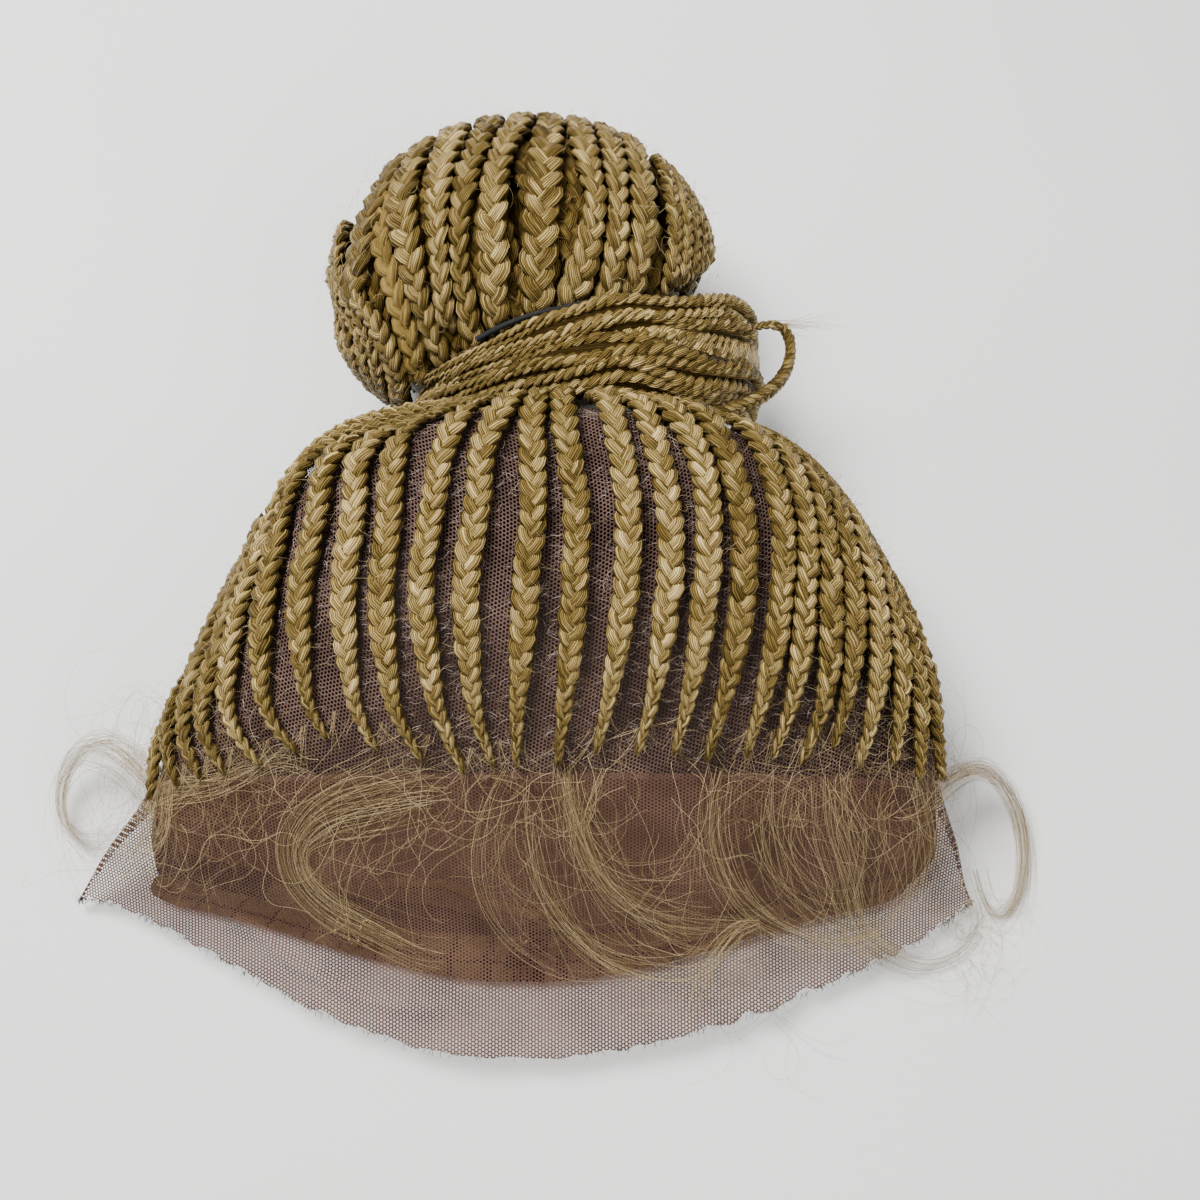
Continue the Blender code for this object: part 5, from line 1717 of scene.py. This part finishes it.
    def lock(self, data: MeshData, path: Array, out: Array, wide: Array, hairs: int,
             relief: LaceRelief | None = None) -> None:
        """Hairs that run beside each other along a path and part from it at random.

        Args:
            data: mesh that receives them.
            path: middle of the lock.
            out: outward directions.
            wide: half width along it.
            hairs: number of hairs.
            relief: surface that the hairs lie on, where their height isn't given.
        """
        count = 30
        group = self.rng.integers(0, self.locks_in_lock, hairs)
        starts = self.rng.normal(0.0, 0.12, hairs) + self.rng.normal(0, 0.08, self.locks_in_lock)[group]
        starts = np.clip(np.abs(starts), 0.0, 0.4)
        ends = self.rng.normal(0.84, 0.15, hairs) + self.rng.normal(0, 0.08, self.locks_in_lock)[group]
        ends = np.clip(ends, 0.35, 1.0)
        share = starts[:, None] + (ends - starts)[:, None] * np.linspace(0, 1, count)
        _, across, up = frames_along(path, out)
        strip = np.concatenate([path, wide[:, None], across, up], axis=1)
        whole = smooth_rows(strip, share * (len(path) - 1))
        middle, reach, side, rise = whole[..., :3], whole[..., 3], whole[..., 4:7], whole[..., 7:10]
        middles = self.rng.uniform(-1.1, 1.1, (self.locks_in_lock, 1))
        phases = self.rng.uniform(0, 1, (self.locks_in_lock, 1))
        lane = middles[group] + self.rng.normal(0, 0.22, (hairs, 1))
        turns = self.rng.uniform(0.3, 1.4, (hairs, 1))
        wave = 0.25 * np.sin(2 * math.pi * (turns * share + self.rng.uniform(0, 1, (hairs, 1))))
        wave = wave + 0.4 * np.sin(2 * math.pi * (0.9 * share + phases[group]))
        stray = (self.rng.uniform(size=(hairs, 1)) < 0.4) * self.rng.normal(0, 9.0, (hairs, 1))
        local = np.linspace(0, 1, count)[None, :]
        sideways = reach * (lane + wave) + stray * local ** 2.2
        sideways = sideways + self.rng.normal(0, 1.2, (hairs, 1)) * local ** 3
        lift = np.abs(self.rng.normal(0.0, 1.0, (hairs, 1))) * (0.3 + np.sin(math.pi * local) ** 2) + 0.25
        paths = middle + side * sideways[..., None]
        if relief is not None:
            paths[..., 2] = relief(paths[..., 0], paths[..., 1])
            paths[..., 2] += lift
        else:
            paths = paths + rise * (lift * self.rng.choice((-1.0, 1.0), (hairs, 1)))[..., None]
        paths[..., 2] = np.maximum(paths[..., 2], 0.4)
        for _ in range(2):
            paths[:, 1:-1] = 0.25 * paths[:, :-2] + 0.5 * paths[:, 1:-1] + 0.25 * paths[:, 2:]
        HairMaker(self.rng).hairs(data, paths)

    def build_flyaways(self, relief: LaceRelief) -> None:
        """Single curly hairs that wander over the front lace and past its sides.

        Args:
            relief: surface that they lie on.
        """
        data = MeshData()
        for hairs, box, tall, length, turn in self.flies:
            count = 22
            spots = self.rng.uniform(size=(hairs, 2))
            x0 = box[0] + (box[2] - box[0]) * spots[:, :1]
            y0 = box[1] + (box[3] - box[1]) * spots[:, 1:]
            long = self.rng.uniform(*length, hairs)[:, None]
            local = np.linspace(0, 1, count)[None, :]
            if turn > 2.5:
                heading = self.rng.uniform(-math.pi, math.pi, (hairs, 1))
            else:
                heading = self.rng.normal(-math.pi / 2, 1.1, (hairs, 1))
            bend = self.rng.choice((-1.0, 1.0), (hairs, 1)) * np.abs(self.rng.normal(turn, 1.2, (hairs, 1)))
            angle = heading + bend * local ** self.rng.uniform(0.8, 1.8, (hairs, 1))
            phase = local * self.rng.uniform(0.5, 2.0, (hairs, 1)) + self.rng.uniform(0, 1, (hairs, 1))
            angle = angle + 0.5 * np.sin(2 * math.pi * phase)
            step = long / (count - 1)
            x = np.clip(x0 + np.cumsum(np.cos(angle) * step, axis=1), *self.fly_limits)
            y = y0 + np.cumsum(np.sin(angle) * step, axis=1)
            lift = np.abs(self.rng.normal(0.0, 1.6, (hairs, 1))) * np.sin(math.pi * local * 0.8) + 0.3
            height = relief(x, y)
            if tall is not None:
                in_air = tall * (1.0 - 0.6 * local) * self.rng.uniform(0.4, 1.0, (hairs, 1))
                height = np.maximum(height, in_air)
            paths = np.stack([x, y, height + lift], axis=-1)
            HairMaker(self.rng).hairs(data, paths, radius=0.05, taper=0.6)
        settle(data.build("fly_away_hairs", self.finishes.loose), "loose_hair")

    def build_knots(self, rows: Cornrows) -> None:
        """Short hairs that stand out of the knots on both sides of each row, and fuzz on the braids.

        Args:
            rows: the cornrows.
        """
        laid = rows.lines()
        data, fuzz = MeshData(), MeshData()
        for (_, _, line, normal), wide in zip(laid, rows.widths(laid)):
            run = run_along(line)[-1]
            strip = np.concatenate([line, *frames_along(line, normal), wide[:, None]], axis=1)
            hairs = int(run * self.knots_per_mm * 2)
            whole = smooth_rows(strip, (len(line) - 1) * self.rng.uniform(0.12, 1.0, hairs))
            middle, forward, across, upward, reach = np.split(whole, (3, 6, 9, 12), axis=1)
            sideways = across * np.where(self.rng.uniform(size=hairs) < 0.5, -1.0, 1.0)[:, None]
            base = middle + sideways * (reach * 0.8 + np.abs(self.rng.normal(0, 1.0, (hairs, 1))))
            way = unit(sideways + upward * self.rng.uniform(0.0, 0.7, (hairs, 1))
                       + forward * self.rng.normal(0, 0.45, (hairs, 1)))
            curls = self.curls(base + upward * 0.3, way, upward, self.knot_length, (0.1, 1.5))
            HairMaker(self.rng).hairs(data, curls, radius=0.055, tone=(0.1, 1.0))
            hairs = int(run * self.fuzz_per_mm * 2)
            whole = smooth_rows(strip, (len(line) - 1) * self.rng.uniform(0.22, 1.0, hairs))
            middle, forward, across, upward, reach = np.split(whole, (3, 6, 9, 12), axis=1)
            turn = self.rng.uniform(0.0, math.pi, (hairs, 1))
            outward = across * np.cos(turn) + upward * np.sin(turn)
            base = middle + upward * 3.2 + outward * reach * 0.7
            way = unit(outward * self.rng.uniform(0.2, 1.0, (hairs, 1))
                       + forward * self.rng.normal(0, 1, (hairs, 1)))
            HairMaker(self.rng).hairs(fuzz, self.curls(base, way, outward, (3.0, 9.0)), radius=0.04)
        count = self.bun_fuzz
        b = self.rng.uniform(20.0, 200.0, count)
        a = self.rng.uniform(12.0, 168.0, count)
        base, outward = BUN.point(a, b, self.rng.uniform(5.5, 6.8, count))
        way = unit(outward * self.rng.uniform(0.1, 0.9, (count, 1)) + self.rng.normal(0, 0.8, (count, 3)))
        HairMaker(self.rng).hairs(fuzz, self.curls(base, way, outward, (3.0, 10.0)), radius=0.04)
        settle(data.build("knot_hairs", self.finishes.pale), "loose_hair")
        settle(fuzz.build("braid_fuzz", self.finishes.loose), "loose_hair")

    def curls(self, base: Array, way: Array, outward: Array, length: tuple[float, float],
              curl: tuple[float, float] = (0.6, 3.6)) -> Array:
        """Short curved hairs.

        Args:
            base: roots, n by 3.
            way: directions in which they start.
            outward: direction away from what they stand on.
            length: shortest and longest, in millimetres.
            curl: least and most turn along a hair, in radians.

        Returns:
            Hairs by points by 3.
        """
        hairs = len(base)
        bend = unit(np.cross(way, outward) + 1e-6) * self.rng.choice((-1.0, 1.0), (hairs, 1))
        long = self.rng.uniform(*length, hairs)[:, None, None]
        share = np.linspace(0, 1, 5)[None, :, None]
        turn = self.rng.uniform(*curl, (hairs, 1, 1))
        return (base[:, None] + way[:, None] * long * np.sin(turn * share) / turn
                + bend[:, None] * long * (1 - np.cos(turn * share)) / turn)

    def build_frays(self, rows: Cornrows) -> None:
        """The loose tips at the hairline end of each row.

        Args:
            rows: the cornrows.
        """
        data = MeshData()
        for _, spots, _, _ in rows.lines():
            phi, t = spots[-1]
            hairs = self.frayed
            share = np.linspace(0, 1, 10)
            length = self.rng.uniform(0.1, 0.42, hairs)[:, None]
            lean = self.rng.normal(0, 2.4, hairs)[:, None]
            ts = t - 0.22 + length * share
            phis = phi + lean * share ** 1.5 + self.rng.normal(0, 0.35, hairs)[:, None]
            out = CAP.normal(phis, ts)
            lift = 1.8 * (1 - share) ** 2 + 0.4 + np.abs(self.rng.normal(0, 0.6, hairs))[:, None]
            HairMaker(self.rng).hairs(data, CAP.point(phis, ts) + out * lift[..., None], radius=0.06)
        settle(data.build("frayed_row_ends", self.finishes.loose), "loose_hair")


@dataclass
class Studio:
    """Floor, lights and camera."""

    camera_place: tuple[float, float, float] = (0.01973, -0.15730, 0.48700)
    camera_target: tuple[float, float, float] = (0.01973, -0.01206, 0.04000)
    lens_mm: float = 43.44
    sensor_mm: float = 36.0
    floor_half_m: float = 1.6
    sky: str = "eef0f3"
    sky_strength: float = 0.36
    # name, place and side in metres, watts
    lamps: tuple[tuple, ...] = (
        ("key_light", (-0.4, 0.3, 1.1), 0.5, 30.0), ("fill_light", (0.7, -0.5, 0.8), 0.8, 6.0),
    )

    def build(self, finishes: Wardrobe) -> None:
        """Set up the studio.

        Args:
            finishes: the materials.
        """
        mesh = bpy.data.meshes.new("studio_floor")
        half = self.floor_half_m
        mesh.from_pydata([(-half, -half, 0), (half, -half, 0), (half, half, 0), (-half, half, 0)], [],
                         [(0, 1, 2, 3)])
        mesh.materials.append(finishes.floor)
        floor = bpy.data.objects.new("studio_floor", mesh)
        bpy.context.scene.collection.objects.link(floor)
        world = bpy.data.worlds.new("studio_light")
        world.use_nodes = True
        background = world.node_tree.nodes["Background"]
        plug(world.node_tree, background, {"Color": linear(self.sky), "Strength": self.sky_strength})
        bpy.context.scene.world = world
        for lamp in self.lamps:
            self.area(*lamp)
        camera_data = bpy.data.cameras.new("photo_camera")
        camera_data.lens = self.lens_mm
        camera_data.sensor_width = self.sensor_mm
        camera = bpy.data.objects.new("photo_camera", camera_data)
        camera.location = self.camera_place
        aim = Vector(self.camera_target) - Vector(self.camera_place)
        camera.rotation_euler = aim.to_track_quat("-Z", "Y").to_euler()
        bpy.context.scene.collection.objects.link(camera)
        bpy.context.scene.camera = camera

    def area(self, name: str, place: tuple[float, float, float], size: float, watts: float) -> None:
        """Add a soft square light that looks at the wig.

        Args:
            name: name of the light.
            place: where it hangs, in metres.
            size: side of the square, in metres.
            watts: its power.
        """
        light = bpy.data.lights.new(name, "AREA")
        light.size = size
        light.energy = watts
        lamp = bpy.data.objects.new(name, light)
        lamp.location = place
        lamp.rotation_euler = (-Vector(place)).to_track_quat("-Z", "Y").to_euler()
        bpy.context.scene.collection.objects.link(lamp)


def main() -> None:
    """Build the wig's looks in order."""
    logging.basicConfig(level=logging.INFO, format="%(message)s")
    rng = np.random.default_rng(20)
    finishes = Wardrobe()
    rows = Cornrows(finishes, rng)
    Net(finishes, rng).build()
    NapeFittings(finishes, rng).build()
    rows.build()
    BackRows(finishes, rng).build()
    Bun(finishes, rng).build()
    FootBundles(finishes, rng).build()
    LooseHairs(finishes, rng).build(rows)
    Studio().build(finishes)


if __name__ == "__main__":
    main()
